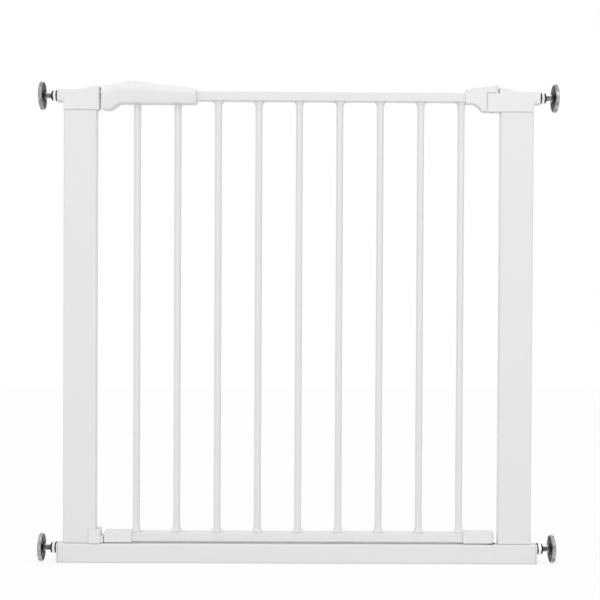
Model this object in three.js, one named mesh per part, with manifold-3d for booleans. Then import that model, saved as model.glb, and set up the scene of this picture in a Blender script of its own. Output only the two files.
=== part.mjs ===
// Pressure-fit safety gate for a doorway or the foot of a stair.
// A U-shaped steel frame is pressed between two walls by four threaded spindles. A barred door hangs
// in it on two pins: its handle holds a spring bolt, and the door lifts clear of a catch before it swings.
// Millimetres. X runs across the doorway, Y through it and Z up, from the middle of the frame's foot.
import * as THREE from 'three';
import { LoftGeometry } from 'three/addons/geometries/LoftGeometry.js';
import { mergeVertices } from 'three/addons/utils/BufferGeometryUtils.js';
import Module from 'manifold-3d';

const wasm = await Module();
wasm.setup();

// Driving dimensions. Half widths and places along X are measured from the middle of the gate.
const gap = 0.3; // left between pieces that touch
const wallFace = 383; // half width over the rubber wall pads
const frameEnd = 357.1; // half width where the spindle nuts bear
const spindleHeights = { bottom: 21.5, top: 692.1 };
const swingAxis = 287; // the door turns about the upright line at X = swingAxis, Y = 0
const lift = 5; // the door rises this far on its pins

// Frame
const footRail = { height: 29, depth: 20, wall: 1.5, radius: 2.5, end: 354.5 };
const railPlug = { length: 28, overlap: 1 };
const post = { outer: 347.6, width: 49.2, depth: 16, wall: 1.2, radius: 2.5, seat: 670.8 };
const bracket = { depth: 18.4, edge: 1.2, stub: 18, fillet: 2, flatTo: 330, boreFrom: 309.8 };
const bracketPlug = { length: 30, screwDrop: 15 };
const latchPocket = { depth: 9, sideClearance: 0.6 };
const crests = { latch: 706.4, hinge: 707.2 }; // the brackets' highest points, at their inner ends
const overhangs = { latch: 3.7, hinge: 1.4 }; // how far the brackets reach in past the posts' inner faces
const knuckle = { radius: 11.6, top: 698.8, airGap: 0.6 };
const catchPlate = { from: 292, to: 309, bottom: 29.3, top: 50, thickness: 2.7 };
const catchScrew = { at: 303, height: 43, length: 9 };
const groove = { tip: 287.6, base: 30.2, floor: 36, top: 40.2, half: 3.3, stepHalf: 9 };
const bush = { bottom: 12, radius: 5.5, flange: 8, flangeTop: 30.1 };
const screw = { shank: 1.75, head: 3.5, headHeight: 2, point: 1, hole: 2.1 };
const bracketScrewLength = 7.5;

// Door
const doorRail = { size: 14.3, wall: 1.4, radius: 2 }; // square tube
const topRail = { middle: 692.25, from: -262, to: 268 };
const lowRail = { middle: 38.9, from: -244.7, to: 246.2 };
const bar = { count: 9, pitch: 60, middle: 0.7, radius: 5.2, wall: 0.9 };
const cap = { height: 17, depth: 17, plugLength: 20, edge: 1, round: 3 };
const latchPeg = { from: -286.6, tip: -291.4, root: 3, top: 40 };
const hingeCapEnd = 293;
const pin = { radius: 3, hole: 3.35, bottom: 676.5, top: 707, point: 1 };
const hexPin = { corner: 3.1, holeCorner: 3.45, bottom: 14, cover: 3 };
const fitting = { from: 246.3, depth: 18.6, bottom: 683.3, webBottom: 671.5, hookRadius: 9.5, top: 710.1 };
const fittingEdge = 1;
const fittingLip = { height: 701.5, to: 7, shoulder: 706.2 };
const fittingScrew = { at: 249.9, length: 9, head: 2.5, shank: 1.6, headHeight: 1.9, point: 1, hole: 1.9 };

// Handle and latch
const handle = { from: -290.8, to: -151.1, depth: 34, wall: 2.5, squareness: 5, endRound: 4.5 };
const underside = { height: 679.9, lobe: 9.6, lobeTo: 11, lobeEnds: 30 };
const handleScrews = { at: [-252, -166], length: 26, boss: 4.6, seat: 13.4, pilot: 13.5 };
const bolt = { tip: -301.5, top: 699.4, thickness: 4.1, width: 12, travel: 10.5 };
const boltPlate = { from: -287, bend: 4, to: -222, lift: 0.7, top: 704.4 };
const boltLeg = { from: -288, bottom: 681.5, boss: 2.4 };
const slider = { from: -262, to: -222, width: 17, floor: 708.4, top: 712.3, ridge: 2.2, edge: 0.8 };
const stem = { from: -248, to: -232, half: 4, bottom: 701 };
const spring = { from: -285.4, to: -265.3, radius: 3.7, wire: 0.45, turns: 8, height: 687.5 };
const springSeat = { bottom: 673, top: 695 };

// Wall spindles
const thread = { radius: 4, bore: 4.35, reach: 42, point: 0.8 };
const nut = { length: 9.5, corner: 8.6, flange: 8.8, flangeThickness: 1.6, dome: 3.2 };
const ball = { radius: 2.9, neck: 1.7, fromFace: 6 };
const cup = { radius: 20.8, face: 5.6, edge: 0.8, rim: 1.2 };
const cupBoss = { root: 8.4, end: 6.2, mouth: 2.2, back: 2.6 };
const padDepth = 3; // from the cup's floor to the wall
const padProud = 0.7; // how far the pad stands out of the cup

const middleOfPost = post.outer - post.width / 2;
const innerFace = post.outer - post.width;
const halfRail = doorRail.size / 2;
const bracketScrewHeight = post.seat - bracketPlug.screwDrop;
const capBottom = lowRail.middle - cap.height / 2;
const capTop = lowRail.middle + cap.height / 2;
const barPlaces = Array.from(
  { length: bar.count },
  (_, i) => bar.middle + bar.pitch * (i - (bar.count - 1) / 2)
);

// Finishes
const finish = (color, roughness, metalness) => () =>
  new THREE.MeshStandardMaterial({ color, roughness, metalness });
const whitePaint = finish(0xecedee, 0.38, 0);
const whitePlastic = finish(0xf3f3f1, 0.45, 0);
const brightSteel = finish(0xc9cbce, 0.18, 1);
const zincSteel = finish(0xb4b7ba, 0.32, 1);
const greyRubber = finish(0x8b8d8f, 0.85, 0);
const blackPlastic = finish(0x2c2d2f, 0.5, 0);

// Solids: a closed geometry becomes a manifold solid to be joined or cut, and is turned back at the end.
function solidOf(geometry) {
  const bare = new THREE.BufferGeometry().copy(geometry);
  bare.deleteAttribute('normal');
  bare.deleteAttribute('uv');
  const merged = mergeVertices(bare, 1e-4);
  const corners = merged.index.array;
  const kept = [];
  for (let i = 0; i < corners.length; i += 3) {
    const [a, b, c] = corners.slice(i, i + 3);
    if (a !== b && b !== c && c !== a) kept.push(a, b, c);
  }
  return new wasm.Manifold(
    new wasm.Mesh({
      numProp: 3,
      vertProperties: merged.attributes.position.array,
      triVerts: new Uint32Array(kept)
    })
  );
}

function geometryOf(solid) {
  const { vertProperties, triVerts } = solid.getMesh();
  const geometry = new THREE.BufferGeometry();
  geometry.setAttribute('position', new THREE.BufferAttribute(vertProperties, 3));
  geometry.setIndex(new THREE.BufferAttribute(triVerts, 1));
  geometry.computeVertexNormals();
  return geometry;
}

const asSolid = (shape) => (shape.isBufferGeometry ? solidOf(shape) : shape);
const join = (first, ...others) => others.reduce((sum, next) => sum.add(asSolid(next)), asSolid(first));
const cut = (first, ...tools) => tools.reduce((rest, tool) => rest.subtract(asSolid(tool)), asSolid(first));
const common = (first, second) => asSolid(first).intersect(asSolid(second));
const inOrder = (a, b) => [Math.min(a, b), Math.max(a, b)];

function piece(name, shape, material) {
  const mesh = new THREE.Mesh(geometryOf(asSolid(shape)), material());
  mesh.name = name;
  return mesh;
}

// Basic shapes, each placed by its own limits
function block([x0, x1], [y0, y1], [z0, z1]) {
  const geometry = new THREE.BoxGeometry(x1 - x0, y1 - y0, z1 - z0);
  return geometry.translate((x0 + x1) / 2, (y0 + y1) / 2, (z0 + z1) / 2);
}

// Turns a geometry that runs along +Z, drawn in (width, height), so that it runs along the named axis.
function turnTo(axis, geometry) {
  const along = {
    x: [new THREE.Vector3(0, 1, 0), new THREE.Vector3(0, 0, 1), new THREE.Vector3(1, 0, 0)],
    y: [new THREE.Vector3(0, 0, 1), new THREE.Vector3(1, 0, 0), new THREE.Vector3(0, 1, 0)],
    z: [new THREE.Vector3(1, 0, 0), new THREE.Vector3(0, 1, 0), new THREE.Vector3(0, 0, 1)]
  };
  return geometry.applyMatrix4(new THREE.Matrix4().makeBasis(...along[axis]));
}

// A round rod from one point to another along the named axis, through the given middle.
function rod(axis, radius, [from, to], middle, sides = 12) {
  const geometry = new THREE.CylinderGeometry(radius, radius, to - from, sides);
  geometry.rotateX(Math.PI / 2).translate(0, 0, (from + to) / 2);
  return turnTo(axis, geometry).translate(...middle);
}

// A profile of [radius, distance] points spun about the named axis.
function spun(axis, profile, sides = 16) {
  const points = profile.map(([radius, distance]) => new THREE.Vector2(radius, distance));
  const geometry = new THREE.LatheGeometry(points, sides);
  return turnTo(axis, geometry.rotateX(Math.PI / 2));
}

function roundedRectangle(width, height, radius, path = new THREE.Shape()) {
  const x = width / 2;
  const y = height / 2;
  path.moveTo(-x + radius, -y);
  path.lineTo(x - radius, -y);
  path.absarc(x - radius, -y + radius, radius, -Math.PI / 2, 0);
  path.absarc(x - radius, y - radius, radius, 0, Math.PI / 2);
  path.absarc(-x + radius, y - radius, radius, Math.PI / 2, Math.PI);
  path.absarc(-x + radius, -y + radius, radius, Math.PI, Math.PI * 1.5);
  return path;
}

// A shape drawn in (width, height), from one place to another along the named axis
function extruded(axis, shape, [from, to], curveSegments = 3) {
  const options = { depth: to - from, bevelEnabled: false, curveSegments };
  const geometry = new THREE.ExtrudeGeometry(shape, options);
  return turnTo(axis, geometry.translate(0, 0, from));
}

// A rectangular steel tube with rounded corners, of the given section, along the named axis.
function rectangularTube(axis, width, height, { radius, wall }, span) {
  const shape = roundedRectangle(width, height, radius);
  const inside = [width - 2 * wall, height - 2 * wall, radius - wall];
  shape.holes.push(roundedRectangle(...inside, new THREE.Path()));
  return extruded(axis, shape, span);
}

// A plug that fits inside such a tube, with clearance all round
function tubePlug(axis, width, height, { radius, wall }, span) {
  const inside = 2 * (wall + gap);
  const shape = roundedRectangle(width - inside, height - inside, Math.max(radius - wall, 0.5));
  return extruded(axis, shape, span);
}

// An outline drawn in (X, Z), as thick as depth about Y = 0, with its edges rounded inside the outline.
function acrossY(shape, depth, edge, steps = 2) {
  const geometry = new THREE.ExtrudeGeometry(shape, {
    depth: depth - 2 * edge,
    bevelThickness: edge,
    bevelSize: edge,
    bevelOffset: -edge,
    bevelSegments: steps,
    curveSegments: 4
  });
  return geometry.translate(0, 0, edge - depth / 2).rotateX(Math.PI / 2);
}

// A pan-head screw whose head bears at the origin and whose shank runs along -Z
function screwShape(length, { head, shank, headHeight, point }) {
  return spun('z', [[0, -length], [shank, point - length], [shank, 0], [head, 0],
    [head, headHeight * 0.5], [head * 0.6, headHeight], [0, headHeight]], 12);
}

function screwAt(name, length, position, size = screw) {
  const mesh = piece(name, screwShape(length, size), brightSteel);
  mesh.position.set(...position);
  return mesh;
}

// The same, with its head to the back of the gate
function backScrewAt(...details) {
  const mesh = screwAt(...details);
  mesh.rotation.x = -Math.PI / 2;
  return mesh;
}

// ---------- Frame: both sides are drawn with +X outwards, and the left one is turned half round ----------

function makeFootRail() {
  const tube = rectangularTube('x', footRail.depth, footRail.height, footRail, [-footRail.end, footRail.end]);
  tube.translate(0, 0, footRail.height / 2);
  const reach = [footRail.height - 2 * footRail.wall, footRail.height + footRail.wall];
  const bushHole = rod('z', bush.radius + gap, reach, [swingAxis, 0, 0], 16);
  return piece('foot_rail', cut(tube, bushHole), whitePaint);
}

// The plug that closes a rail end and guides the lower spindle
function makeRailPlug(side) {
  const { depth, height, radius, end } = footRail;
  const flange = extruded('x', roundedRectangle(depth, height, radius), [end + gap, frameEnd]);
  const body = tubePlug('x', depth, height, footRail, [frameEnd - railPlug.length, end + railPlug.overlap]);
  const bore = rod('x', thread.bore, [frameEnd - thread.reach, frameEnd + 1], [0, 0, spindleHeights.bottom]);
  const solid = join(flange.translate(0, 0, height / 2), body.translate(0, 0, height / 2));
  return piece(`rail_plug_${side}`, cut(solid, bore), whitePlastic);
}

function makePost(side, back) {
  const from = footRail.height + gap;
  const tube = rectangularTube('z', post.width, post.depth, post, [from, post.seat - gap]);
  tube.translate(middleOfPost, 0, 0);
  const reach = inOrder(0, back * post.depth);
  const holes = [rod('y', screw.hole, reach, [middleOfPost, 0, bracketScrewHeight])];
  if (side === 'left') holes.push(rod('y', screw.hole, reach, [catchScrew.at, 0, catchScrew.height]));
  return piece(`post_${side}`, cut(tube, ...holes), whitePaint);
}

// The side view of a corner bracket: it stands on the post and reaches out as a stub round the spindle.
function bracketOutline(inner, crest, knuckleEnd = inner) {
  const stubTop = spindleHeights.top + bracket.stub / 2;
  const stubBottom = spindleHeights.top - bracket.stub / 2;
  const shape = new THREE.Shape();
  shape.moveTo(knuckleEnd, post.seat);
  shape.lineTo(post.outer, post.seat);
  shape.lineTo(post.outer, stubBottom - bracket.fillet);
  shape.lineTo(post.outer + bracket.fillet, stubBottom);
  shape.lineTo(frameEnd, stubBottom);
  shape.lineTo(frameEnd, stubTop);
  shape.lineTo(bracket.flatTo, stubTop);
  shape.bezierCurveTo(bracket.flatTo - 12, stubTop, inner + 16, crest, inner, crest);
  if (knuckleEnd < inner) {
    shape.lineTo(inner, knuckle.top);
    shape.lineTo(knuckleEnd, knuckle.top);
  }
  return shape;
}

// The bracket's body, with the plug that goes down inside the post and the spindle's bore
function bracketBody(inner, crest, back, knuckleEnd) {
  const body = acrossY(bracketOutline(inner, crest, knuckleEnd), bracket.depth, bracket.edge);
  const plug = tubePlug('z', post.width, post.depth, post, [post.seat - bracketPlug.length, post.seat + 3]);
  plug.translate(middleOfPost, 0, 0);
  const bore = rod('x', thread.bore, [bracket.boreFrom, frameEnd + 1], [0, 0, spindleHeights.top]);
  const pilot = rod('y', screw.hole, inOrder(0, back * post.depth), [middleOfPost, 0, bracketScrewHeight]);
  return cut(join(body, plug), bore, pilot);
}

// The latch bracket has a pocket for the bolt, tall enough for the door to lift with the bolt out.
function makeLatchBracket() {
  const inner = innerFace - overhangs.latch;
  const half = bolt.width / 2 + latchPocket.sideClearance;
  const pocket = block(
    [inner - 1, inner + latchPocket.depth],
    [-half, half],
    [bolt.top - bolt.thickness - gap, bolt.top + lift + gap]
  );
  return piece('latch_bracket', cut(bracketBody(inner, crests.latch, -1), pocket), whitePlastic);
}

// The hinge bracket reaches in past the post as a knuckle with the upper pin's hole. In plan the
// knuckle ends in an arc about the pin, so that the door's hollow fitting turns round it.
function makeHingeBracket() {
  const half = bracket.depth / 2;
  const turn = Math.asin(half / knuckle.radius);
  const plan = new THREE.Shape();
  plan.moveTo(frameEnd + 1, half + 1);
  plan.lineTo(swingAxis, half + 1);
  plan.lineTo(swingAxis - knuckle.radius * Math.cos(turn), half);
  plan.absarc(swingAxis, 0, knuckle.radius, Math.PI - turn, Math.PI + turn);
  plan.lineTo(swingAxis, -half - 1);
  plan.lineTo(frameEnd + 1, -half - 1);
  const column = extruded('z', plan, [post.seat - bracketPlug.length - 1, crests.hinge + 1], 6);
  const inner = innerFace - overhangs.hinge;
  const body = bracketBody(inner, crests.hinge, 1, swingAxis - knuckle.radius - 1);
  const pinHole = rod('z', pin.hole, [post.seat - 1, knuckle.top + 1], [swingAxis, 0, 0]);
  return piece('hinge_bracket', cut(common(body, column), pinHole), whitePlastic);
}

// The catch clips round the inner edge of the latch post, and its groove holds the door's foot.
function makeCatch() {
  const { from, to, bottom, top, thickness } = catchPlate;
  const inside = post.depth / 2 + gap;
  const outside = inside + thickness;
  const plates = [-1, 1].map((way) => block([from, to], inOrder(way * inside, way * outside), [bottom, top]));
  const web = block([from, innerFace - gap], [-outside, outside], [bottom, top]);
  const step = block(
    [groove.tip, innerFace - gap],
    [-groove.stepHalf, groove.stepHalf],
    [groove.base, groove.top]
  );
  const slot = block([groove.tip - 1, from], [-groove.half, groove.half], [groove.floor, groove.top + 1]);
  const hole = rod('y', screw.hole, [-outside - 1, 0], [catchScrew.at, 0, catchScrew.height]);
  return piece('lower_catch', cut(join(web, ...plates, step), slot, hole), whitePlastic);
}

function makeFrameSide(side) {
  const group = new THREE.Group();
  const back = side === 'left' ? -1 : 1; // the local Y direction that faces the back of the gate
  group.add(makePost(side, back), makeRailPlug(side));
  group.add(side === 'left' ? makeLatchBracket() : makeHingeBracket());
  if (side === 'left') {
    group.add(makeCatch());
    group.rotation.z = Math.PI;
  }
  return group;
}

function makeFrameScrews() {
  const onPost = post.depth / 2 + gap;
  const onCatch = onPost + catchPlate.thickness + gap;
  return [
    backScrewAt('latch_bracket_screw', bracketScrewLength, [-middleOfPost, onPost, bracketScrewHeight]),
    backScrewAt('hinge_bracket_screw', bracketScrewLength, [middleOfPost, onPost, bracketScrewHeight]),
    backScrewAt('catch_screw', catchScrew.length, [-catchScrew.at, onCatch, catchScrew.height])
  ];
}

// The bush turns with the door in the foot rail, and the door's hexagonal lower pin slides up in it.
function makeHingeBush() {
  const bearing = footRail.height + gap;
  const profile = [[0, bush.bottom], [bush.radius, bush.bottom], [bush.radius, bearing],
    [bush.flange, bearing], [bush.flange, bush.flangeTop], [0, bush.flangeTop]];
  const hexagon = rod('z', hexPin.holeCorner, [0, bush.flangeTop + 1], [0, 0, 0], 6);
  const mesh = piece('hinge_bush', cut(spun('z', profile, 20), hexagon), blackPlastic);
  mesh.position.x = swingAxis;
  return mesh;
}

// ---------- Door ----------

function makeTopRail() {
  const { size } = doorRail;
  const tube = rectangularTube('x', size, size, doorRail, [topRail.from, topRail.to]);
  tube.translate(0, 0, topRail.middle);
  const through = handleScrews.at.map((x) => rod('y', screw.hole, [-size, size], [x, 0, topRail.middle]));
  const fromAbove = [topRail.middle, topRail.middle + size];
  const fittingHole = rod('z', fittingScrew.hole, fromAbove, [fittingScrew.at, 0, 0]);
  return piece('door_top_rail', cut(tube, ...through, fittingHole), whitePaint);
}

function makeLowRail() {
  const tube = rectangularTube('x', doorRail.size, doorRail.size, doorRail, [lowRail.from, lowRail.to]);
  return piece('door_low_rail', tube.translate(0, 0, lowRail.middle), whitePaint);
}

function makeBars() {
  const bottom = lowRail.middle + halfRail + gap;
  const top = topRail.middle - halfRail - gap;
  const { radius, wall } = bar;
  const inside = radius - wall;
  const profile = [[inside, bottom], [radius, bottom], [radius, top], [inside, top], [inside, bottom]];
  return barPlaces.map((x, i) => {
    const mesh = piece(`bar_${i + 1}`, spun('z', profile, 16), whitePaint);
    mesh.position.x = x;
    return mesh;
  });
}

// The plug by which an end cap holds in the low rail
function capPlug(span) {
  return tubePlug('x', doorRail.size, doorRail.size, doorRail, span).translate(0, 0, lowRail.middle);
}

// The latch-side cap has a peg on its end that drops into the catch's groove.
function makeLatchCap() {
  const { from, tip, root, top } = latchPeg;
  const to = lowRail.from - gap;
  const shape = new THREE.Shape();
  shape.moveTo(from + cap.round, capBottom);
  shape.lineTo(to, capBottom);
  shape.lineTo(to, capTop);
  shape.lineTo(from + cap.round, capTop);
  shape.quadraticCurveTo(from, capTop, from, capTop - cap.round);
  shape.lineTo(from, capBottom + cap.round);
  shape.quadraticCurveTo(from, capBottom, from + cap.round, capBottom);
  const pegHalf = groove.half - gap;
  const peg = block([tip, from + root], [-pegHalf, pegHalf], [groove.floor + gap, top]);
  const body = acrossY(shape, cap.depth, cap.edge);
  return piece('latch_end_cap', join(body, peg, capPlug([to - 2, to + cap.plugLength])), whitePlastic);
}

// The hinge-side cap carries the lower pin under its rounded end.
function makeHingeCap() {
  const from = lowRail.to + gap;
  const half = cap.depth / 2;
  const roundFrom = hingeCapEnd - half * 0.8;
  const plan = new THREE.Shape();
  plan.moveTo(from, -half);
  plan.lineTo(roundFrom, -half);
  plan.bezierCurveTo(hingeCapEnd - 2, -half, hingeCapEnd, -half * 0.6, hingeCapEnd, 0);
  plan.bezierCurveTo(hingeCapEnd, half * 0.6, hingeCapEnd - 2, half, roundFrom, half);
  plan.lineTo(from, half);
  const body = extruded('z', plan, [capBottom, capTop], 4);
  const hexagon = rod('z', hexPin.holeCorner, [capBottom - 1, capTop - hexPin.cover], [swingAxis, 0, 0], 6);
  const plug = capPlug([from - cap.plugLength, from + 2]);
  return piece('hinge_end_cap', cut(join(body, plug), hexagon), whitePlastic);
}

// The fitting's side view: a sleeve on the rail, a web down beside the knuckle and a hook over it
function fittingOutline() {
  const { from, top, bottom, webBottom } = fitting;
  const { height: lip, to: lipTo, shoulder } = fittingLip;
  const end = swingAxis - fitting.hookRadius;
  const hookEnd = swingAxis + fitting.hookRadius;
  const hookUnder = knuckle.top + gap;
  const side = new THREE.Shape();
  side.moveTo(from, bottom);
  side.lineTo(from + 10, bottom - 0.3);
  side.quadraticCurveTo(from + 17, bottom - 0.7, from + 25.5, webBottom);
  side.lineTo(end, webBottom);
  side.lineTo(end, hookUnder);
  side.lineTo(hookEnd, hookUnder);
  side.lineTo(hookEnd, top - 1.9);
  side.quadraticCurveTo(hookEnd, top, hookEnd - 2, top);
  side.bezierCurveTo(swingAxis, top + 0.2, from + 24, shoulder, from + lipTo + 2, shoulder);
  side.lineTo(from + lipTo, lip + 0.2);
  side.lineTo(from, lip);
  return side;
}

// The upper hinge fitting sleeves the top rail and hooks over the bracket's knuckle.
function makeHingeFitting() {
  const half = fitting.depth / 2;
  const turn = Math.asin(half / fitting.hookRadius);
  const plan = new THREE.Shape();
  plan.moveTo(fitting.from - 1, half);
  plan.lineTo(fitting.from - 1, -half);
  plan.absarc(swingAxis, 0, fitting.hookRadius, -turn, turn);
  const column = extruded('z', plan, [post.seat - 1, fitting.top + 1], 8);
  const hollowRadius = knuckle.radius + knuckle.airGap;
  const hollow = rod('z', hollowRadius, [post.seat - 1, knuckle.top + gap], [swingAxis, 0, 0], 48);
  const body = common(acrossY(fittingOutline(), fitting.depth, fittingEdge), cut(column, hollow));
  const socketHalf = halfRail + gap;
  const socket = block(
    [fitting.from - 1, topRail.to + gap],
    [-socketHalf, socketHalf],
    [topRail.middle - socketHalf, topRail.middle + socketHalf]
  );
  const pinHole = rod('z', pin.hole, [knuckle.top - 1, pin.top + gap], [swingAxis, 0, 0]);
  const screwHole = rod('z', fittingScrew.hole, [topRail.middle, fitting.top], [fittingScrew.at, 0, 0]);
  return piece('upper_hinge_fitting', cut(body, socket, pinHole, screwHole), whitePlastic);
}

function makePins() {
  const { radius, bottom, top, point } = pin;
  const profile = [[0, bottom], [radius - point, bottom], [radius, bottom + point], [radius, top], [0, top]];
  const hexagon = rod('z', hexPin.corner, [hexPin.bottom, capTop - hexPin.cover - gap], [0, 0, 0], 6);
  const meshes = [
    piece('upper_hinge_pin', spun('z', profile, 16), brightSteel),
    piece('lower_hinge_pin', hexagon, brightSteel)
  ];
  meshes.forEach((mesh) => mesh.position.setX(swingAxis));
  return meshes;
}

// ---------- Handle: two shells round the end of the top rail, with the bolt and slider between ----------

// Along the handle: its crest, arched from a lower block at the latch end
const crestLine = new THREE.SplineCurve([
  new THREE.Vector2(handle.from, 708.1),
  new THREE.Vector2(handle.from + 15.5, 708.6),
  new THREE.Vector2(handle.from + 24.5, 710.7),
  new THREE.Vector2(handle.from + 52.5, 712.5),
  new THREE.Vector2(handle.from + 83.5, 709.1),
  new THREE.Vector2(handle.to - 5, 703.8),
  new THREE.Vector2(handle.to, 703.2)
]);

// The height of its underside, which drops to a lobe at the latch end
function undersideAt(x) {
  const { height, lobe, lobeTo, lobeEnds } = underside;
  return height - lobe * (1 - THREE.MathUtils.smoothstep(x, handle.from + lobeTo, handle.from + lobeEnds));
}

// One cross-section of the handle where its crest is at (x, crest): a rectangle with well rounded corners
function handleSection(x, crest, inset, sides) {
  const bottom = undersideAt(x) + inset;
  const halfHeight = (crest - inset - bottom) / 2;
  const halfDepth = handle.depth / 2 - inset;
  const squared = (value) => Math.sign(value) * Math.abs(value) ** (2 / handle.squareness);
  return Array.from({ length: sides }, (_, i) => {
    const angle = (2 * Math.PI * (i + 0.5)) / sides;
    const y = halfDepth * squared(Math.cos(angle));
    return new THREE.Vector3(x, y, bottom + halfHeight * (1 + squared(Math.sin(angle))));
  });
}

// The handle as a closed loft, drawn in by inset all round, with its far end rounded over
function handleBody(inset, sides = 20, count = 14) {
  const from = handle.from + inset;
  const to = handle.to - inset;
  const sections = [];
  for (let i = 0; i <= count; i += 1) {
    const { x, y } = crestLine.getPoint(i / count);
    const along = THREE.MathUtils.clamp(x, from, to - handle.endRound);
    sections.push(handleSection(along, y, inset + (i === 0 ? 0.6 : 0), sides));
  }
  for (const turn of [0.5, 0.8, 1]) {
    const x = to - handle.endRound * (1 - Math.sin((turn * Math.PI) / 2));
    const shrink = handle.endRound * (1 - Math.cos((turn * Math.PI) / 2));
    sections.push(handleSection(x, crestLine.points.at(-1).y, inset + shrink * 0.9, sides));
  }
  const apart = sections.filter((one, i) => i === 0 || one[0].x > sections[i - 1][0].x + 0.05);
  return new LoftGeometry(apart, { capStart: true, capEnd: true });
}

// Inside the handle: the slider's floor, the spring's seat and a pillar round each screw, clear of the rail
function handleWebs() {
  const inner = handle.depth / 2 - 1;
  const sliderFloor = block(
    [slider.from - 14, slider.to + 18],
    [-11, 11],
    [slider.floor - handle.wall, slider.floor]
  );
  const seat = block(
    [spring.to + gap, topRail.from - 0.4],
    [1 - inner, inner - 1],
    [springSeat.bottom, springSeat.top]
  );
  const pillars = handleScrews.at.map((x) =>
    cut(
      rod('y', handleScrews.boss, [-inner, inner], [x, 0, topRail.middle]),
      block([x - 5, x + 5], [-halfRail - gap, halfRail + gap], [topRail.middle - 9, topRail.middle + 9])
    )
  );
  return common(join(sliderFloor, seat, ...pillars), handleBody(1));
}

// The openings in the handle for the rail, the bolt, the slider with its stem, and the bars
function handleOpenings() {
  const railHole = block(
    [handle.to - 10, handle.to + 1],
    [-halfRail - gap, halfRail + gap],
    [topRail.middle - halfRail - gap, topRail.middle + halfRail + gap]
  );
  const boltSlot = block(
    [handle.from - 1, handle.from + 6],
    [-bolt.width / 2 - gap, bolt.width / 2 + gap],
    [bolt.top - bolt.thickness - gap, bolt.top + gap]
  );
  const sliderWell = block(
    [slider.from - 2, slider.to + bolt.travel + 1],
    [-slider.width / 2 - 0.5, slider.width / 2 + 0.5],
    [slider.floor, slider.floor + 14]
  );
  const stemSlot = block(
    [stem.from - 1, stem.to + bolt.travel + 1],
    [-stem.half - gap, stem.half + gap],
    [slider.floor - 6, slider.floor + 1]
  );
  const barHoles = barPlaces
    .filter((x) => x < handle.to)
    .map((x) => rod('z', bar.radius + gap, [660, topRail.middle], [x, 0, 0], 20));
  return [railHole, boltSlot, sliderWell, stemSlot, ...barHoles];
}

// The rear shell takes the screws' heads in sockets, and the front shell takes their points.
function makeHandleShells() {
  const shell = cut(handleBody(0), handleBody(handle.wall));
  const body = cut(join(shell, handleWebs()), ...handleOpenings());
  const outside = handle.depth / 2 + 1;
  const reach = [[handle.from - 1, handle.to + 1], [660, 725]];
  const front = common(body, block(reach[0], [-outside, -gap / 2], reach[1]));
  const rear = common(body, block(reach[0], [gap / 2, outside], reach[1]));
  const holeAt = (x, radius, span) => rod('y', radius, span, [x, 0, topRail.middle]);
  const pilots = handleScrews.at.map((x) => holeAt(x, screw.hole, [-handleScrews.pilot, 0]));
  const sockets = handleScrews.at.map((x) =>
    join(
      holeAt(x, screw.hole, [0, outside]),
      holeAt(x, screw.head + 0.4, [handleScrews.seat, outside])
    )
  );
  return [
    piece('handle_front_shell', cut(front, ...pilots), whitePlastic),
    piece('handle_rear_shell', cut(rear, ...sockets), whitePlastic)
  ];
}

// The bolt: a tongue that enters the bracket, a leg for the spring and a plate that runs back over the rail
function makeBolt() {
  const half = bolt.width / 2;
  const low = bolt.top - bolt.thickness;
  const { from, bend, to, top } = boltPlate;
  const tongue = block([bolt.tip, from + bend], [-half, half], [low, bolt.top]);
  const riser = block([from, from + bend], [-half, half], [low, top]);
  const plate = block([from, to], [-half, half], [topRail.middle + halfRail + boltPlate.lift, top]);
  const leg = block([boltLeg.from, spring.from - gap], [1 - half, half - 1], [boltLeg.bottom, low + 1]);
  const boss = rod('x', boltLeg.boss, [boltLeg.from + 1.5, spring.from + 3], [0, 0, spring.height]);
  const stemHole = block(
    [stem.from - gap, stem.to + gap],
    [-stem.half - gap, stem.half + gap],
    [topRail.middle, top + 1]
  );
  return piece('latch_bolt', cut(join(tongue, riser, plate, leg, boss), stemHole), whitePlastic);
}

// The thumb slider: a pad with a cross ridge, and a stem down into the bolt's plate
function makeSlider() {
  const { from, to, floor, top, ridge } = slider;
  const middle = (from + to) / 2;
  const side = new THREE.Shape();
  side.moveTo(from, floor + gap);
  side.lineTo(to, floor + gap);
  side.lineTo(to, top - 1.4);
  side.quadraticCurveTo(to - 4, top - 0.4, middle + 6, top);
  side.quadraticCurveTo(middle, top + ridge, middle - 6, top);
  side.quadraticCurveTo(from + 4, top - 0.2, from, top - 1);
  const foot = block([stem.from, stem.to], [-stem.half, stem.half], [stem.bottom, floor + 1]);
  return piece('release_slider', join(acrossY(side, slider.width, slider.edge, 1), foot), whitePlastic);
}

function makeSpring() {
  class Helix extends THREE.Curve {
    getPoint(t, target = new THREE.Vector3()) {
      const angle = 2 * Math.PI * spring.turns * t;
      const length = spring.to - spring.from - 2 * spring.wire;
      return target.set(
        spring.from + spring.wire + length * t,
        spring.radius * Math.cos(angle),
        spring.height + spring.radius * Math.sin(angle)
      );
    }
  }
  const wire = new THREE.Shape().absarc(0, 0, spring.wire, 0, 2 * Math.PI);
  const steps = spring.turns * 10;
  const geometry = new THREE.ExtrudeGeometry(wire, { steps, extrudePath: new Helix(), curveSegments: 3 });
  return piece('latch_spring', geometry, brightSteel);
}

function makeHandleScrews() {
  const seat = handleScrews.seat + gap;
  return handleScrews.at.map((x, i) =>
    backScrewAt(`handle_screw_${i + 1}`, handleScrews.length, [x, seat, topRail.middle])
  );
}

function makeFittingScrew() {
  const seat = fittingLip.height + 0.1 + gap;
  return screwAt('fitting_screw', fittingScrew.length, [fittingScrew.at, 0, seat], fittingScrew);
}

// ---------- Wall spindles, drawn with +X outwards from the frame's end face ----------

const ballAt = wallFace - frameEnd - ball.fromFace;
const cupFloor = wallFace - frameEnd - padDepth;

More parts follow.
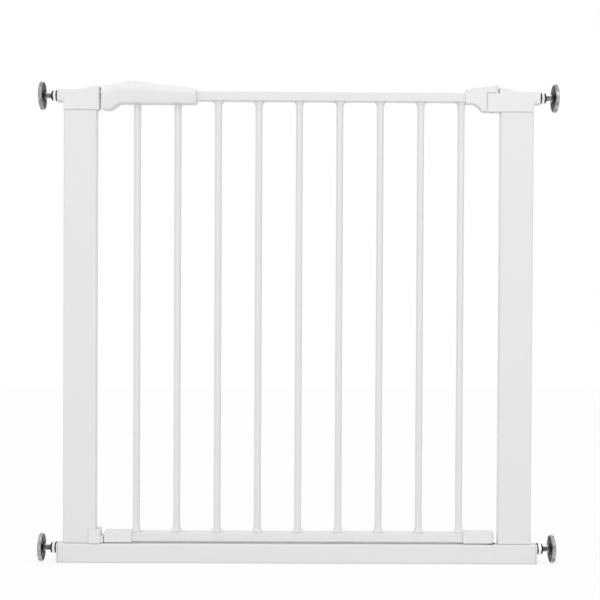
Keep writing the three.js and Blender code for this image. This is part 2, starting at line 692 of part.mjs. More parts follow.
// Points of [radius, distance] round the ball's centre, between two angles measured from the wall side
function aroundBall(radius, from, to, steps = 4) {
  return Array.from({ length: steps + 1 }, (_, i) => {
    const angle = from + ((to - from) * i) / steps;
    return [radius * Math.sin(angle), ballAt + radius * Math.cos(angle)];
  });
}

function makeSpindleRod(place) {
  const { radius, reach, point } = thread;
  const start = Math.PI - Math.asin(ball.neck / ball.radius);
  const round = aroundBall(ball.radius, start, 0);
  const neckEnd = round[0][1];
  const profile = [[0, -reach], [radius - point, -reach], [radius, point - reach], [radius, neckEnd - 1.3],
    [ball.neck, neckEnd - 0.75], ...round];
  return piece(`spindle_rod_${place}`, spun('x', profile, 14), brightSteel);
}

function makeNut(place) {
  const { length, corner, flange, flangeThickness, dome } = nut;
  const hexagon = rod('x', corner, [gap, length], [0, 0, 0], 6);
  const domed = spun('x', [[0, gap], [corner + 1, gap], [corner + 1, length - dome],
    [corner - 1.2, length - 1], [corner - 3, length], [0, length]], 20);
  const collar = spun('x', [[0, gap], [flange, gap], [flange, flangeThickness], [0, flangeThickness]], 20);
  const bore = rod('x', thread.bore, [-1, length + 1], [0, 0, 0], 16);
  return piece(`spindle_nut_${place}`, cut(join(common(hexagon, domed), collar), bore), brightSteel);
}

// A pressed steel dish whose hollow boss holds the rod's ball
function makeCup(place) {
  const { radius, face, edge, rim } = cup;
  const { root, end, mouth, back } = cupBoss;
  const socket = ball.radius + gap;
  const mouthAngle = Math.asin(mouth / socket);
  const hollow = aroundBall(socket, mouthAngle, Math.PI - mouthAngle);
  const faceAt = wallFace - frameEnd - face;
  const rimEdge = wallFace - frameEnd - padProud;
  const outer = [[mouth, ballAt - back], [end, ballAt - back], [root - 0.8, faceAt - 0.3],
    [root, faceAt], [radius - edge, faceAt], [radius, faceAt + edge], [radius, rimEdge],
    [radius - rim, rimEdge], [radius - rim, cupFloor], [mouth, cupFloor]];
  return piece(`wall_cup_${place}`, spun('x', [...outer, ...hollow, outer[0]], 20), zincSteel);
}

function makeRubberPad(place) {
  const from = cupFloor + gap;
  const to = wallFace - frameEnd;
  const radius = cup.radius - cup.rim - gap;
  const profile = [[0, from], [radius, from], [radius, to - 0.6], [radius - 0.6, to], [0, to]];
  return piece(`rubber_pad_${place}`, spun('x', profile, 20), greyRubber);
}

function makeSpindle(height, side) {
  const place = `${height}_${side}`;
  const group = new THREE.Group();
  group.add(makeSpindleRod(place), makeNut(place), makeCup(place), makeRubberPad(place));
  const outward = side === 'left' ? -1 : 1;
  group.position.set(outward * frameEnd, 0, spindleHeights[height]);
  group.rotation.z = side === 'left' ? Math.PI : 0;
  return group;
}

// ---------- Assembly ----------

function makeFrame() {
  const sides = ['left', 'right'].map(makeFrameSide);
  return new THREE.Group().add(makeFootRail(), ...sides, ...makeFrameScrews());
}

function makeDoor() {
  const door = new THREE.Group();
  door.add(makeTopRail(), makeLowRail(), ...makeBars());
  door.add(makeLatchCap(), makeHingeCap(), makeHingeFitting(), ...makePins(), makeFittingScrew());
  door.add(...makeHandleShells(), ...makeHandleScrews(), makeSpring());
  return door;
}

const gate = new THREE.Group();
gate.add(makeFrame(), makeHingeBush(), makeDoor());
gate.add(new THREE.Group().add(makeBolt(), makeSlider()));
for (const side of ['left', 'right']) {
  for (const height of ['top', 'bottom']) gate.add(makeSpindle(height, side));
}

export default gate;
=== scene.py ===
import math

import bmesh
import bpy
from mathutils import Matrix, Vector


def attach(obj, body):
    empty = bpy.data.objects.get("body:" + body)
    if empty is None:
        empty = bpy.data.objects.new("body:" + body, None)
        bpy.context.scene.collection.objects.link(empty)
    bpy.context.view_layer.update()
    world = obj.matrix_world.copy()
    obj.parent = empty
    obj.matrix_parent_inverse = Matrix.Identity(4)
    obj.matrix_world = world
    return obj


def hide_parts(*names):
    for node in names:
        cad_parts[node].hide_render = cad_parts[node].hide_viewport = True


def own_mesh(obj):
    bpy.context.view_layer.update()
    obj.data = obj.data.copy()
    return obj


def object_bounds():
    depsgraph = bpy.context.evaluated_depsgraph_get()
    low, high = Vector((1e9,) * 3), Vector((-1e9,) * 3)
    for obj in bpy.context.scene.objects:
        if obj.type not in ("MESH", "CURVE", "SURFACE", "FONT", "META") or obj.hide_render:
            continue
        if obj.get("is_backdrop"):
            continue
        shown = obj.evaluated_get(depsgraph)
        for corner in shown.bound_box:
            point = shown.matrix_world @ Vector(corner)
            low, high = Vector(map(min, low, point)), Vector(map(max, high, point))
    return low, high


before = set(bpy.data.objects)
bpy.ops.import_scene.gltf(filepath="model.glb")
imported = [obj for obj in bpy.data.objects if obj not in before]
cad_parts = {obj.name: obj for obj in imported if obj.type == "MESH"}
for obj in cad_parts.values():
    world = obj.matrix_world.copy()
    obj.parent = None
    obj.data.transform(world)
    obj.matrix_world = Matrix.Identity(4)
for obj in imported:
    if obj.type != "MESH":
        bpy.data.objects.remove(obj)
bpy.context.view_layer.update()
scene = bpy.context.scene

# Sizes are in millimetres and become metres when a piece is finished.
# X runs across the doorway, Y through it and Z up. "gap" is left between pieces that touch.
gap = 0.3
frameEnd = 357.1
swingAxis = 287
spindleHeights = {"top": 692.1, "bottom": 21.5}
railSize = {"side": 14.3, "radius": 2, "wall": 1.4, "topMiddle": 692.25, "lowMiddle": 38.9}
bracketScrewHeight = 655.8
handleScrewPlaces = (-252, -166)
catchScrewPlace = (-303, 43)
screwHole = {"radius": 2.1, "small": 1.9, "reach": 12}


def newObject(name, verts, faces):
    mesh = bpy.data.meshes.new(name)
    mesh.from_pydata([tuple(map(float, v)) for v in verts], [], faces)
    mesh.update()
    obj = bpy.data.objects.new(name, mesh)
    scene.collection.objects.link(obj)
    turnOutwards(obj)
    return obj


def turnOutwards(obj):  # all faces point away from the inside
    work = bmesh.new()
    work.from_mesh(obj.data)
    bmesh.ops.recalc_face_normals(work, faces=work.faces)
    if work.calc_volume(signed=True) < 0:
        bmesh.ops.reverse_faces(work, faces=work.faces)
    work.to_mesh(obj.data)
    work.free()


def along(axis, u, v, d):  # a point of a section drawn in (u, v), at distance d along the axis
    return {"x": (d, u, v), "y": (u, d, v), "z": (u, v, d)}[axis]


def roundedRing(width, height, radius, steps=6):  # a rectangle with round corners, about its middle
    points = []
    for sideX, sideY, start in ((1, 1, 0), (-1, 1, 90), (-1, -1, 180), (1, -1, 270)):
        for i in range(steps + 1):
            a = math.radians(start + 90 * i / steps)
            points.append((sideX * (width / 2 - radius) + radius * math.cos(a),
                           sideY * (height / 2 - radius) + radius * math.sin(a)))
    return points


def loft(name, rings, closed=False):  # rings of equal length; closed joins the last to the first
    size, count = len(rings[0]), len(rings)
    verts = [point for ring in rings for point in ring]
    faces = []
    for i in range(count if closed else count - 1):
        a, b = i * size, ((i + 1) % count) * size
        for j in range(size):
            k = (j + 1) % size
            faces.append((a + j, a + k, b + k, b + j))
    if not closed:
        faces.append(tuple(reversed(range(size))))
        faces.append(tuple(range((count - 1) * size, count * size)))
    return newObject(name, verts, faces)


sharpBevel = 35  # degrees; edges that turn by more are rounded


def prism(name, outline, axis, span, bevel=0.0, segments=3):  # outline of (u, v) points, edges rounded
    obj = loft(name, [[along(axis, u, v, d) for u, v in outline] for d in span])
    if bevel:
        rounding = obj.modifiers.new("rounding", "BEVEL")
        rounding.width = bevel
        rounding.segments = segments
        rounding.limit_method = "ANGLE"
        rounding.angle_limit = math.radians(sharpBevel)
        settle(obj)
    return obj


def box(name, spanX, spanY, spanZ, bevel=0.0):
    corners = [(spanX[0], spanY[0]), (spanX[1], spanY[0]), (spanX[1], spanY[1]), (spanX[0], spanY[1])]
    return prism(name, corners, "z", spanZ, bevel, 2)


def rod(name, axis, radius, span, centre=(0, 0), sides=32, bevel=0.0):
    turns = [2 * math.pi * i / sides for i in range(sides)]
    ring = [(centre[0] + radius * math.cos(a), centre[1] + radius * math.sin(a)) for a in turns]
    return prism(name, ring, axis, span, bevel, 2)


def lathe(name, profile, axis="z", centre=(0, 0), sides=64, start=0.0, way=1):
    # profile of (radius, distance); a radius of 0 at either end closes it with one point
    nothing = 1e-6
    verts, rows = [], []
    for radius, distance in profile:
        d = start + way * distance
        if radius < nothing:
            rows.append([len(verts)] * sides)
            verts.append(along(axis, centre[0], centre[1], d))
            continue
        rows.append(list(range(len(verts), len(verts) + sides)))
        for i in range(sides):
            a = 2 * math.pi * i / sides
            verts.append(along(axis, centre[0] + radius * math.cos(a), centre[1] + radius * math.sin(a), d))
    joinRound = profile[0][0] > nothing
    pairs = list(zip(rows, rows[1:])) + ([(rows[-1], rows[0])] if joinRound else [])
    faces = []
    for a, b in pairs:
        for j in range(sides):
            k = (j + 1) % sides
            corners = [a[j], a[k], b[k], b[j]]
            corners = [c for i, c in enumerate(corners) if c not in corners[:i]]
            if len(corners) > 2:
                faces.append(tuple(corners))
    return newObject(name, verts, faces)


def settle(obj):  # what the modifiers make becomes the object's own mesh
    bpy.context.view_layer.update()
    made = bpy.data.meshes.new_from_object(obj.evaluated_get(bpy.context.evaluated_depsgraph_get()))
    old, obj.data = obj.data, made
    obj.modifiers.clear()
    bpy.data.meshes.remove(old)
    return obj


def remove(*objs):
    for obj in objs:
        mesh = obj.data
        bpy.data.objects.remove(obj)
        bpy.data.meshes.remove(mesh)


def combine(obj, others, operation):  # the others are used up
    for other in others:
        step = obj.modifiers.new(operation.lower(), "BOOLEAN")
        step.operation = operation
        step.solver = "EXACT"
        step.object = other
        settle(obj)
    remove(*others)
    return obj


def cut(obj, *cutters):
    return combine(obj, cutters, "DIFFERENCE")


def join(obj, *others):
    return combine(obj, others, "UNION")


millimetre = 0.001  # in metres


def finishPiece(obj, name, body, material, nodes, sharpest=38):
    # cleans the mesh, turns it to metres, puts it on the body it rides on and hides the nodes it stands for;
    # edges that turn by more than the sharpest angle, in degrees, stay sharp
    tiny = 1e-4  # millimetres
    work = bmesh.new()
    work.from_mesh(obj.data)
    bmesh.ops.remove_doubles(work, verts=work.verts, dist=tiny)
    bmesh.ops.dissolve_degenerate(work, edges=work.edges, dist=tiny)
    work.to_mesh(obj.data)
    work.free()
    obj.data.transform(Matrix.Scale(millimetre, 4))
    obj.data.materials.clear()
    obj.data.materials.append(material)
    for polygon in obj.data.polygons:
        polygon.material_index = 0
        polygon.use_smooth = True
    obj.data.set_sharp_from_angle(angle=math.radians(sharpest))
    shading = obj.modifiers.new("flatFaces", "WEIGHTED_NORMAL")  # flat faces stay flat beside rounded edges
    shading.weight = 80
    shading.keep_sharp = True
    settle(obj)
    obj.name = name
    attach(obj, body)
    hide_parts(*nodes)
    return obj


def newTree(name, inputs):  # a Geometry Nodes tree with these inputs, as {name: kind}
    tree = bpy.data.node_groups.new(name, "GeometryNodeTree")
    tree.interface.new_socket("Geometry", in_out="INPUT", socket_type="NodeSocketGeometry")
    for label, kind in inputs.items():
        tree.interface.new_socket(label, in_out="INPUT", socket_type="NodeSocket" + kind)
    tree.interface.new_socket("Geometry", in_out="OUTPUT", socket_type="NodeSocketGeometry")
    return tree, tree.nodes.new("NodeGroupInput").outputs


def addNode(tree, kind, sockets=None, **settings):  # a socket takes a value or another node's output
    node = tree.nodes.new(kind)
    for key, value in settings.items():
        setattr(node, key, value)
    for key, value in (sockets or {}).items():
        if isinstance(value, bpy.types.NodeSocket):
            tree.links.new(value, node.inputs[key])
        else:
            node.inputs[key].default_value = value
    return node


def calc(tree, operation, *values):  # one sum on numbers or sockets
    return addNode(tree, "ShaderNodeMath", dict(enumerate(values)), operation=operation).outputs[0]


def endTree(tree, geometry, material):  # real geometry in the given finish
    real = addNode(tree, "GeometryNodeRealizeInstances", {"Geometry": geometry})
    painted = addNode(tree, "GeometryNodeSetMaterial", {"Geometry": real.outputs[0], "Material": material})
    out = tree.nodes.new("NodeGroupOutput")
    tree.links.new(painted.outputs[0], out.inputs[0])


def grow(obj, tree, values):  # runs a tree on an object with these inputs and keeps what it makes
    modifier = obj.modifiers.new(tree.name, "NODES")
    modifier.node_group = tree
    sockets = {s.name: s.identifier for s in tree.interface.items_tree if s.in_out == "INPUT"}
    for label, value in values.items():
        modifier[sockets[label]] = value
    return settle(obj)


def pointsObject(name, points):  # loose points for a tree to start from
    mesh = bpy.data.meshes.new(name)
    mesh.from_pydata([tuple(map(float, p)) for p in points], [], [])
    obj = bpy.data.objects.new(name, mesh)
    scene.collection.objects.link(obj)
    return obj


def newMaterial(name, color, roughness, metallic=0.0, specular=0.5):
    material = bpy.data.materials.new(name)
    material.use_nodes = True
    tree = material.node_tree
    shader = tree.nodes["Principled BSDF"]
    shader.inputs["Base Color"].default_value = (*color, 1)
    shader.inputs["Roughness"].default_value = roughness
    shader.inputs["Metallic"].default_value = metallic
    shader.inputs["Specular IOR Level"].default_value = specular
    return material, tree, shader


def pattern(tree, scale, detail=2.0, roughness=0.5, stretch=(1, 1, 1)):
    # noise on the piece's own coordinates
    place = tree.nodes.new("ShaderNodeTexCoord")
    mapping = addNode(tree, "ShaderNodeMapping", {"Vector": place.outputs["Object"], "Scale": stretch})
    noise = addNode(tree, "ShaderNodeTexNoise", {"Vector": mapping.outputs[0], "Scale": scale,
                                                "Detail": detail, "Roughness": roughness})
    return noise.outputs["Fac"]


def spread(tree, value, low, high, fromLow=0.3, fromHigh=0.7):  # fromLow becomes low, fromHigh becomes high
    return addNode(tree, "ShaderNodeMapRange", {"Value": value, "From Min": fromLow, "From Max": fromHigh,
                                               "To Min": low, "To Max": high}).outputs["Result"]


def tint(tree, value, dark, light):  # between two colours, each fixed or made by other nodes
    mix = addNode(tree, "ShaderNodeMix", {"Factor": value}, data_type="RGBA")
    for key, color in (("A", dark), ("B", light)):
        if isinstance(color, bpy.types.NodeSocket):
            tree.links.new(color, mix.inputs[key])
        else:
            mix.inputs[key].default_value = (*color, 1)
    return mix.outputs["Result"]


def bump(tree, shader, layers):  # layers of (height, strength, distance in metres)
    normal = None
    for height, strength, distance in layers:
        node = addNode(tree, "ShaderNodeBump", {"Height": height, "Strength": strength, "Distance": distance})
        if normal is not None:
            tree.links.new(normal, node.inputs["Normal"])
        normal = node.outputs["Normal"]
    tree.links.new(normal, shader.inputs["Normal"])


# In the finishes, a larger number for patches, smears or grain makes them finer, a stretch below 1 draws them
# out along that axis, "gloss" is the range of roughness, and a bump is (strength, depth in metres).
def makeWhitePaint():  # powder coat on steel tube: orange peel, faint thick and thin places
    paint = {"light": (0.81, 0.811, 0.812), "dark": (0.785, 0.786, 0.787), "roughness": 0.36,
             "gloss": (0.3, 0.44), "patches": 9, "waves": 60, "peel": 620,
             "peelBump": (0.25, 0.0002), "waveBump": (0.1, 0.0006)}
    material, tree, shader = newMaterial("whitePaint", paint["light"], paint["roughness"])
    color = tint(tree, pattern(tree, paint["patches"], 3), paint["dark"], paint["light"])
    tree.links.new(color, shader.inputs["Base Color"])
    gloss = spread(tree, pattern(tree, paint["waves"], 3), *paint["gloss"])
    tree.links.new(gloss, shader.inputs["Roughness"])
    bump(tree, shader, [(pattern(tree, paint["peel"], 1.5), *paint["peelBump"]),
                        (pattern(tree, paint["waves"], 1), *paint["waveBump"])])
    return material


def makeWhitePlastic():  # satin injection-moulded cover: fine spark texture, slight flow shading
    plastic = {"light": (0.83, 0.831, 0.829), "dark": (0.81, 0.811, 0.809), "roughness": 0.42,
               "specular": 0.45, "gloss": (0.36, 0.5), "patches": 14, "smears": 120, "flow": 45,
               "spark": 2600, "sparkBump": (0.2, 0.00006), "flowBump": (0.08, 0.0005)}
    material, tree, shader = newMaterial("whitePlastic", plastic["light"], plastic["roughness"],
                                         specular=plastic["specular"])
    color = tint(tree, pattern(tree, plastic["patches"], 2), plastic["dark"], plastic["light"])
    tree.links.new(color, shader.inputs["Base Color"])
    gloss = spread(tree, pattern(tree, plastic["smears"], 3), *plastic["gloss"])
    tree.links.new(gloss, shader.inputs["Roughness"])
    bump(tree, shader, [(pattern(tree, plastic["spark"], 2), *plastic["sparkBump"]),
                        (pattern(tree, plastic["flow"], 1), *plastic["flowBump"])])
    return material


def makeBlackPlastic():  # dull nylon, scuffed paler in places
    nylon = {"light": (0.04, 0.04, 0.042), "dark": (0.022, 0.022, 0.023), "roughness": 0.5, "specular": 0.4,
             "gloss": (0.42, 0.62), "scuffs": 160, "smears": 300, "grain": 1600, "grainBump": (0.2, 0.00006)}
    material, tree, shader = newMaterial("blackPlastic", nylon["dark"], nylon["roughness"],
                                         specular=nylon["specular"])
    color = tint(tree, pattern(tree, nylon["scuffs"], 3), nylon["dark"], nylon["light"])
    tree.links.new(color, shader.inputs["Base Color"])
    gloss = spread(tree, pattern(tree, nylon["smears"], 3), *nylon["gloss"])
    tree.links.new(gloss, shader.inputs["Roughness"])
    bump(tree, shader, [(pattern(tree, nylon["grain"], 2), *nylon["grainBump"])])
    return material


def makeBrightSteel():  # nickel-plated screws and pins, with drawn lines and handling marks
    steel = {"light": (0.62, 0.62, 0.61), "dark": (0.42, 0.42, 0.415), "roughness": 0.2,
             "gloss": (0.14, 0.32), "marks": 260, "smears": 500, "smearStretch": (0.15, 1, 1), "drawn": 900,
             "drawnStretch": (0.2, 1, 1), "drawnBump": (0.15, 0.0001)}
    material, tree, shader = newMaterial("brightSteel", steel["light"], steel["roughness"], 1.0)
    marks = spread(tree, pattern(tree, steel["marks"], 4, 0.6), 0, 1)
    tree.links.new(tint(tree, marks, steel["dark"], steel["light"]), shader.inputs["Base Color"])
    gloss = spread(tree, pattern(tree, steel["smears"], 3, 0.6, steel["smearStretch"]), *steel["gloss"])
    tree.links.new(gloss, shader.inputs["Roughness"])
    drawn = pattern(tree, steel["drawn"], 3, 0.6, steel["drawnStretch"])
    bump(tree, shader, [(drawn, *steel["drawnBump"])])
    return material


def makeThreadSteel():  # dull plated thread, darkened in stretched patches of painted shade
    steel = {"light": (0.62, 0.62, 0.61), "dark": (0.09, 0.09, 0.088), "roughness": 0.24,
             "gloss": (0.16, 0.36), "dirt": 260, "paintedShadeStretch": (0.12, 1, 1), "smears": 500,
             "smearStretch": (0.15, 1, 1), "drawn": 900, "drawnStretch": (0.2, 1, 1),
             "drawnBump": (0.15, 0.0001)}
    material, tree, shader = newMaterial("threadSteel", steel["light"], steel["roughness"], 1.0)
    # painted shade: dark patches drawn out along the rod
    dirt = spread(tree, pattern(tree, steel["dirt"], 3, 0.6, steel["paintedShadeStretch"]), 0, 1)
    tree.links.new(tint(tree, dirt, steel["dark"], steel["light"]), shader.inputs["Base Color"])
    gloss = spread(tree, pattern(tree, steel["smears"], 3, 0.6, steel["smearStretch"]), *steel["gloss"])
    tree.links.new(gloss, shader.inputs["Roughness"])
    drawn = pattern(tree, steel["drawn"], 3, 0.6, steel["drawnStretch"])
    bump(tree, shader, [(drawn, *steel["drawnBump"])])
    return material


def makeNutSteel():
    # a hexagon with a painted highlight between a flange in painted shade and a domed end in a painted dark
    # reflection, by the "outward" attribute in metres
    nutLook = {"washerShade": (0.09, 0.09, 0.089), "hexagon": (0.9, 0.9, 0.895), "worn": (0.8, 0.8, 0.795),
               "end": (0.025, 0.025, 0.025), "washerShadeEnds": (0.0024, 0.0029), "endReflectionStarts": (0.0057, 0.0066),
               "roughness": 0.16, "gloss": (0.12, 0.26), "wear": 420, "smears": 500, "grain": 1100,
               "grainBump": (0.12, 0.00008)}
    material, tree, shader = newMaterial("nutSteel", nutLook["hexagon"], nutLook["roughness"], 1.0)
    outward = addNode(tree, "ShaderNodeAttribute", attribute_name="outward").outputs["Fac"]
    # painted highlight on the hexagon, a little duller where the wear pattern says
    hexagon = tint(tree, pattern(tree, nutLook["wear"], 3, 0.6), nutLook["worn"], nutLook["hexagon"])
    # painted shade on the flange next to the frame
    near = tint(tree, spread(tree, outward, 0, 1, *nutLook["washerShadeEnds"]), nutLook["washerShade"], hexagon)
    # painted dark reflection on the domed end
    color = tint(tree, spread(tree, outward, 0, 1, *nutLook["endReflectionStarts"]), near, nutLook["end"])
    tree.links.new(color, shader.inputs["Base Color"])
    gloss = spread(tree, pattern(tree, nutLook["smears"], 3), *nutLook["gloss"])
    tree.links.new(gloss, shader.inputs["Roughness"])
    bump(tree, shader, [(pattern(tree, nutLook["grain"], 3, 0.6), *nutLook["grainBump"])])
    return material


def makeZincSteel():
    # pressed cup, by its "radius" attribute in metres: pale hub, painted shade round the hub's root, a dark
    # face with streaks of painted reflection, a painted highlight on the lip, grey side
    zinc = {"hub": (0.4, 0.4, 0.4), "root": (0.08, 0.08, 0.08), "faceDarkReflection": (0.035, 0.035, 0.036),
            "faceLightReflection": (0.42, 0.42, 0.42), "faceEdge": (0.34, 0.34, 0.34), "lip": (0.75, 0.75, 0.75),
            "sideDark": (0.22, 0.22, 0.222), "sideLight": (0.56, 0.56, 0.562), "roughness": 0.3,
            "gloss": (0.24, 0.42), "reflectionStreaks": 210, "reflectionStreakStretch": (1, 1, 0.3), "reflectionStreakRange": (0.38, 0.62),
            "patches": 170, "patchRange": (0.35, 0.65), "smears": 320, "grain": 700, "ringRate": 7500,
            "ringBump": (0.12, 0.00005), "grainBump": (0.12, 0.0001)}
    hubEnds, rootShadeEnds = (0.0058, 0.0066), (0.0086, 0.0098)
    faceEnds, lipHighlightEnds = (0.0194, 0.0197), (0.0201, 0.0204)
    material, tree, shader = newMaterial("zincSteel", zinc["sideLight"], zinc["roughness"], 1.0)
    radius = addNode(tree, "ShaderNodeAttribute", attribute_name="radius").outputs["Fac"]
    # the face's dark colour and its light streaks are painted reflection
    reflectionStreaks = pattern(tree, zinc["reflectionStreaks"], 4, 0.65, zinc["reflectionStreakStretch"])
    reflectionStreaks = spread(tree, reflectionStreaks, 0, 1, *zinc["reflectionStreakRange"])
    face = tint(tree, reflectionStreaks, zinc["faceDarkReflection"], zinc["faceLightReflection"])
    patches = spread(tree, pattern(tree, zinc["patches"], 3, 0.6), 0, 1, *zinc["patchRange"])
    side = tint(tree, patches, zinc["sideDark"], zinc["sideLight"])
    # bands by radius: hub, painted shade at its root, face of painted reflection, painted highlight on the
    # lip, side
    color = zinc["hub"]
    for ends, beyond in ((hubEnds, zinc["root"]), (rootShadeEnds, face), (faceEnds, zinc["lip"]), (lipHighlightEnds, side)):
        color = tint(tree, spread(tree, radius, 0, 1, *ends), color, beyond)
    tree.links.new(color, shader.inputs["Base Color"])
    # the turned face is dull at a flat angle, where the rest brightens
    pastHub, beforeLip = spread(tree, radius, 0, 1, *hubEnds), spread(tree, radius, 1, 0, *faceEnds)
    inFace = calc(tree, "MULTIPLY", pastHub, beforeLip)
    tree.links.new(tint(tree, inFace, (1, 1, 1), zinc["faceEdge"]), shader.inputs["Specular Tint"])
    gloss = spread(tree, pattern(tree, zinc["smears"], 3), *zinc["gloss"])
    tree.links.new(gloss, shader.inputs["Roughness"])
    rings = calc(tree, "SINE", calc(tree, "MULTIPLY", radius, zinc["ringRate"]))  # radians to a metre
    bump(tree, shader, [(rings, *zinc["ringBump"]), (pattern(tree, zinc["grain"], 2), *zinc["grainBump"])])
    return material


def makeSpringSteel():  # drawn wire, with faint marks
    wire = {"light": (0.5, 0.5, 0.49), "dark": (0.33, 0.32, 0.31), "roughness": 0.28, "gloss": (0.2, 0.38),
            "marks": 400, "smears": 900, "grain": 1500, "grainBump": (0.1, 0.00005)}
    material, tree, shader = newMaterial("springSteel", wire["light"], wire["roughness"], 1.0)
    color = tint(tree, pattern(tree, wire["marks"], 3), wire["dark"], wire["light"])
    tree.links.new(color, shader.inputs["Base Color"])
    gloss = spread(tree, pattern(tree, wire["smears"], 2), *wire["gloss"])
    tree.links.new(gloss, shader.inputs["Roughness"])
    bump(tree, shader, [(pattern(tree, wire["grain"], 2), *wire["grainBump"])])
    return material


def makeGreyRubber():  # matt moulded rubber, a little uneven
    rubber = {"light": (0.3, 0.305, 0.31), "dark": (0.23, 0.235, 0.24), "roughness": 0.8, "specular": 0.3,
              "gloss": (0.7, 0.92), "patches": 120, "smears": 300, "grain": 1800, "grainBump": (0.3, 0.0001)}
    material, tree, shader = newMaterial("greyRubber", rubber["light"], rubber["roughness"],
                                         specular=rubber["specular"])
    color = tint(tree, pattern(tree, rubber["patches"], 4), rubber["dark"], rubber["light"])
    tree.links.new(color, shader.inputs["Base Color"])
    gloss = spread(tree, pattern(tree, rubber["smears"], 3), *rubber["gloss"])
    tree.links.new(gloss, shader.inputs["Roughness"])
    bump(tree, shader, [(pattern(tree, rubber["grain"], 3), *rubber["grainBump"])])
    return material


whitePaint = makeWhitePaint()
whitePlastic = makeWhitePlastic()
blackPlastic = makeBlackPlastic()
brightSteel = makeBrightSteel()
threadSteel = makeThreadSteel()
nutSteel = makeNutSteel()
zincSteel = makeZincSteel()
springSteel = makeSpringSteel()
greyRubber = makeGreyRubber()
print("materials made")


# the frame's foot rail, posts and the plugs in the ends of the rail
footRail = {"height": 29, "depth": 20, "wall": 1.5, "radius": 2.5, "end": 354.5, "bushHole": 5.8}
railPlug = {"length": 28, "bore": 4.35, "reach": 42, "corner": 1}
post = {"outer": 347.6, "width": 49.2, "depth": 16, "wall": 1.2, "radius": 2.5, "bottom": 29.3, "top": 670.5,
        "groove": 1.1, "grooveHeight": 1.0}
middleOfPost = post["outer"] - post["width"] / 2
innerFace = post["outer"] - post["width"]


def tube(name, axis, width, height, size, span, centre, growth=None):
    # a rounded rectangular tube; growth is a list of (distance, swelling) along its outside
    low, high = span
    edge, softened, leastRadius = 0.3, (0.1, -0.09), 0.5
    outside = growth or [(low, -edge), (low + softened[0], softened[1]), (low + edge, 0), (high - edge, 0),
                         (high - softened[0], softened[1]), (high, -edge)]
    rings = []
    for distance, swelling in outside:
        radius = max(size["radius"] + swelling, leastRadius)
        ring = roundedRing(width + 2 * swelling, height + 2 * swelling, radius)
        rings.append([along(axis, u + centre[0], v + centre[1], distance) for u, v in ring])
    wall = size["wall"]
    hollow = roundedRing(width - 2 * wall, height - 2 * wall, max(size["radius"] - wall, leastRadius))
    for distance in (high, low):
        rings.append([along(axis, u + centre[0], v + centre[1], distance) for u, v in hollow])
    return loft(name, rings, closed=True)


def makeFootRail():
    end, top = footRail["end"], footRail["height"]
    rail = tube("rail", "x", footRail["depth"], top, footRail, (-end, end), (0, top / 2))
    cut(rail, rod("hole", "z", footRail["bushHole"], (top - 3, top + 2), (swingAxis, 0)))
    finishPiece(rail, "footRail", "frame", whitePaint, ["foot_rail"])


def makeRailPlug(side, way):  # a flange with rounded edges, and a body that fills the rail's end
    end, height, depth = footRail["end"] + gap, footRail["height"], footRail["depth"]
    edges = ((end, 0.2), (end + 0.3, 0), (frameEnd - 0.9, 0), (frameEnd - 0.3, 0.25), (frameEnd, 0.9))
    rings = []
    for distance, inset in edges:
        ring = roundedRing(depth - 2 * inset, height - 2 * inset, footRail["radius"] - inset * 0.5)
        rings.append([along("x", u, v + height / 2, way * distance) for u, v in ring])
    flange = loft("flange", rings)
    inside = footRail["wall"] + gap
    ring = roundedRing(depth - 2 * inside, height - 2 * inside, railPlug["corner"])
    body = [(u, v + height / 2) for u, v in ring]
    span = sorted((way * (frameEnd - railPlug["length"]), way * (end + 1)))
    join(flange, prism("body", body, "x", span))
    bore = sorted((way * (frameEnd - railPlug["reach"]), way * (frameEnd + 1)))
    cut(flange, rod("bore", "x", railPlug["bore"], bore, (0, spindleHeights["bottom"])))
    finishPiece(flange, "railPlug" + side, "frame", whitePlastic,
                ["rail_plug_" + side.lower()])


def makePost(side, way, rearHoles):  # narrower at its foot, which leaves a fine groove over the foot rail
    bottom, top, groove, high = (post[k] for k in ("bottom", "top", "groove", "grooveHeight"))
    growth = [(bottom, -groove), (bottom + high * 0.5, -groove * 0.9), (bottom + high * 0.8, -groove * 0.3),
              (bottom + high, 0), (top - 0.3, 0), (top, -0.3)]
    body = tube("post", "z", post["width"], post["depth"], post, (bottom, top), (way * middleOfPost, 0),
                growth)
    for place in rearHoles:
        cut(body, rod("hole", "y", screwHole["radius"], (0, screwHole["reach"]), place))
    finishPiece(body, "post" + side, "frame", whitePaint, ["post_" + side.lower()])


makeFootRail()
for side, way in (("Left", -1), ("Right", 1)):
    makeRailPlug(side, way)
makePost("Left", -1, [(-middleOfPost, bracketScrewHeight), catchScrewPlace])
makePost("Right", 1, [(middleOfPost, bracketScrewHeight)])
print("foot rail and posts made")


# the two moulded heads of the posts, each with a stub for its spindle
bracket = {"depth": 18.4, "seat": 670.8, "stubTop": 701.1, "stubBottom": 683.1, "flatTo": 330, "round": 1.5,
           "fillet": 2, "latchCrest": 706.4, "hingeCrest": 707.2, "plugTo": 640.8, "plugCorner": 1.3,
           "bore": 4.35, "boreFrom": 309.8}
stub = {"radius": 4.6, "proud": 0.5, "from": 334, "sink": 0.35}
latchPocket = {"inner": 294.7, "depth": 9, "half": 6.6, "low": 695, "high": 704.7}
knuckle = {"inner": 297, "radius": 11.6, "top": 698.8, "root": 301, "hole": 3.35, "airGap": 0.6,
           "corner": 8.6}


def bezier(a, b, c, d, steps=10):  # a smooth curve from a to d that leaves towards b and arrives from c
    points = []
    for i in range(1, steps + 1):
        t = i / steps
        points.append(tuple((1 - t) ** 3 * p + 3 * (1 - t) ** 2 * t * q + 3 * (1 - t) * t * t * r + t ** 3 * s
                            for p, q, r, s in zip(a, b, c, d)))
    return points


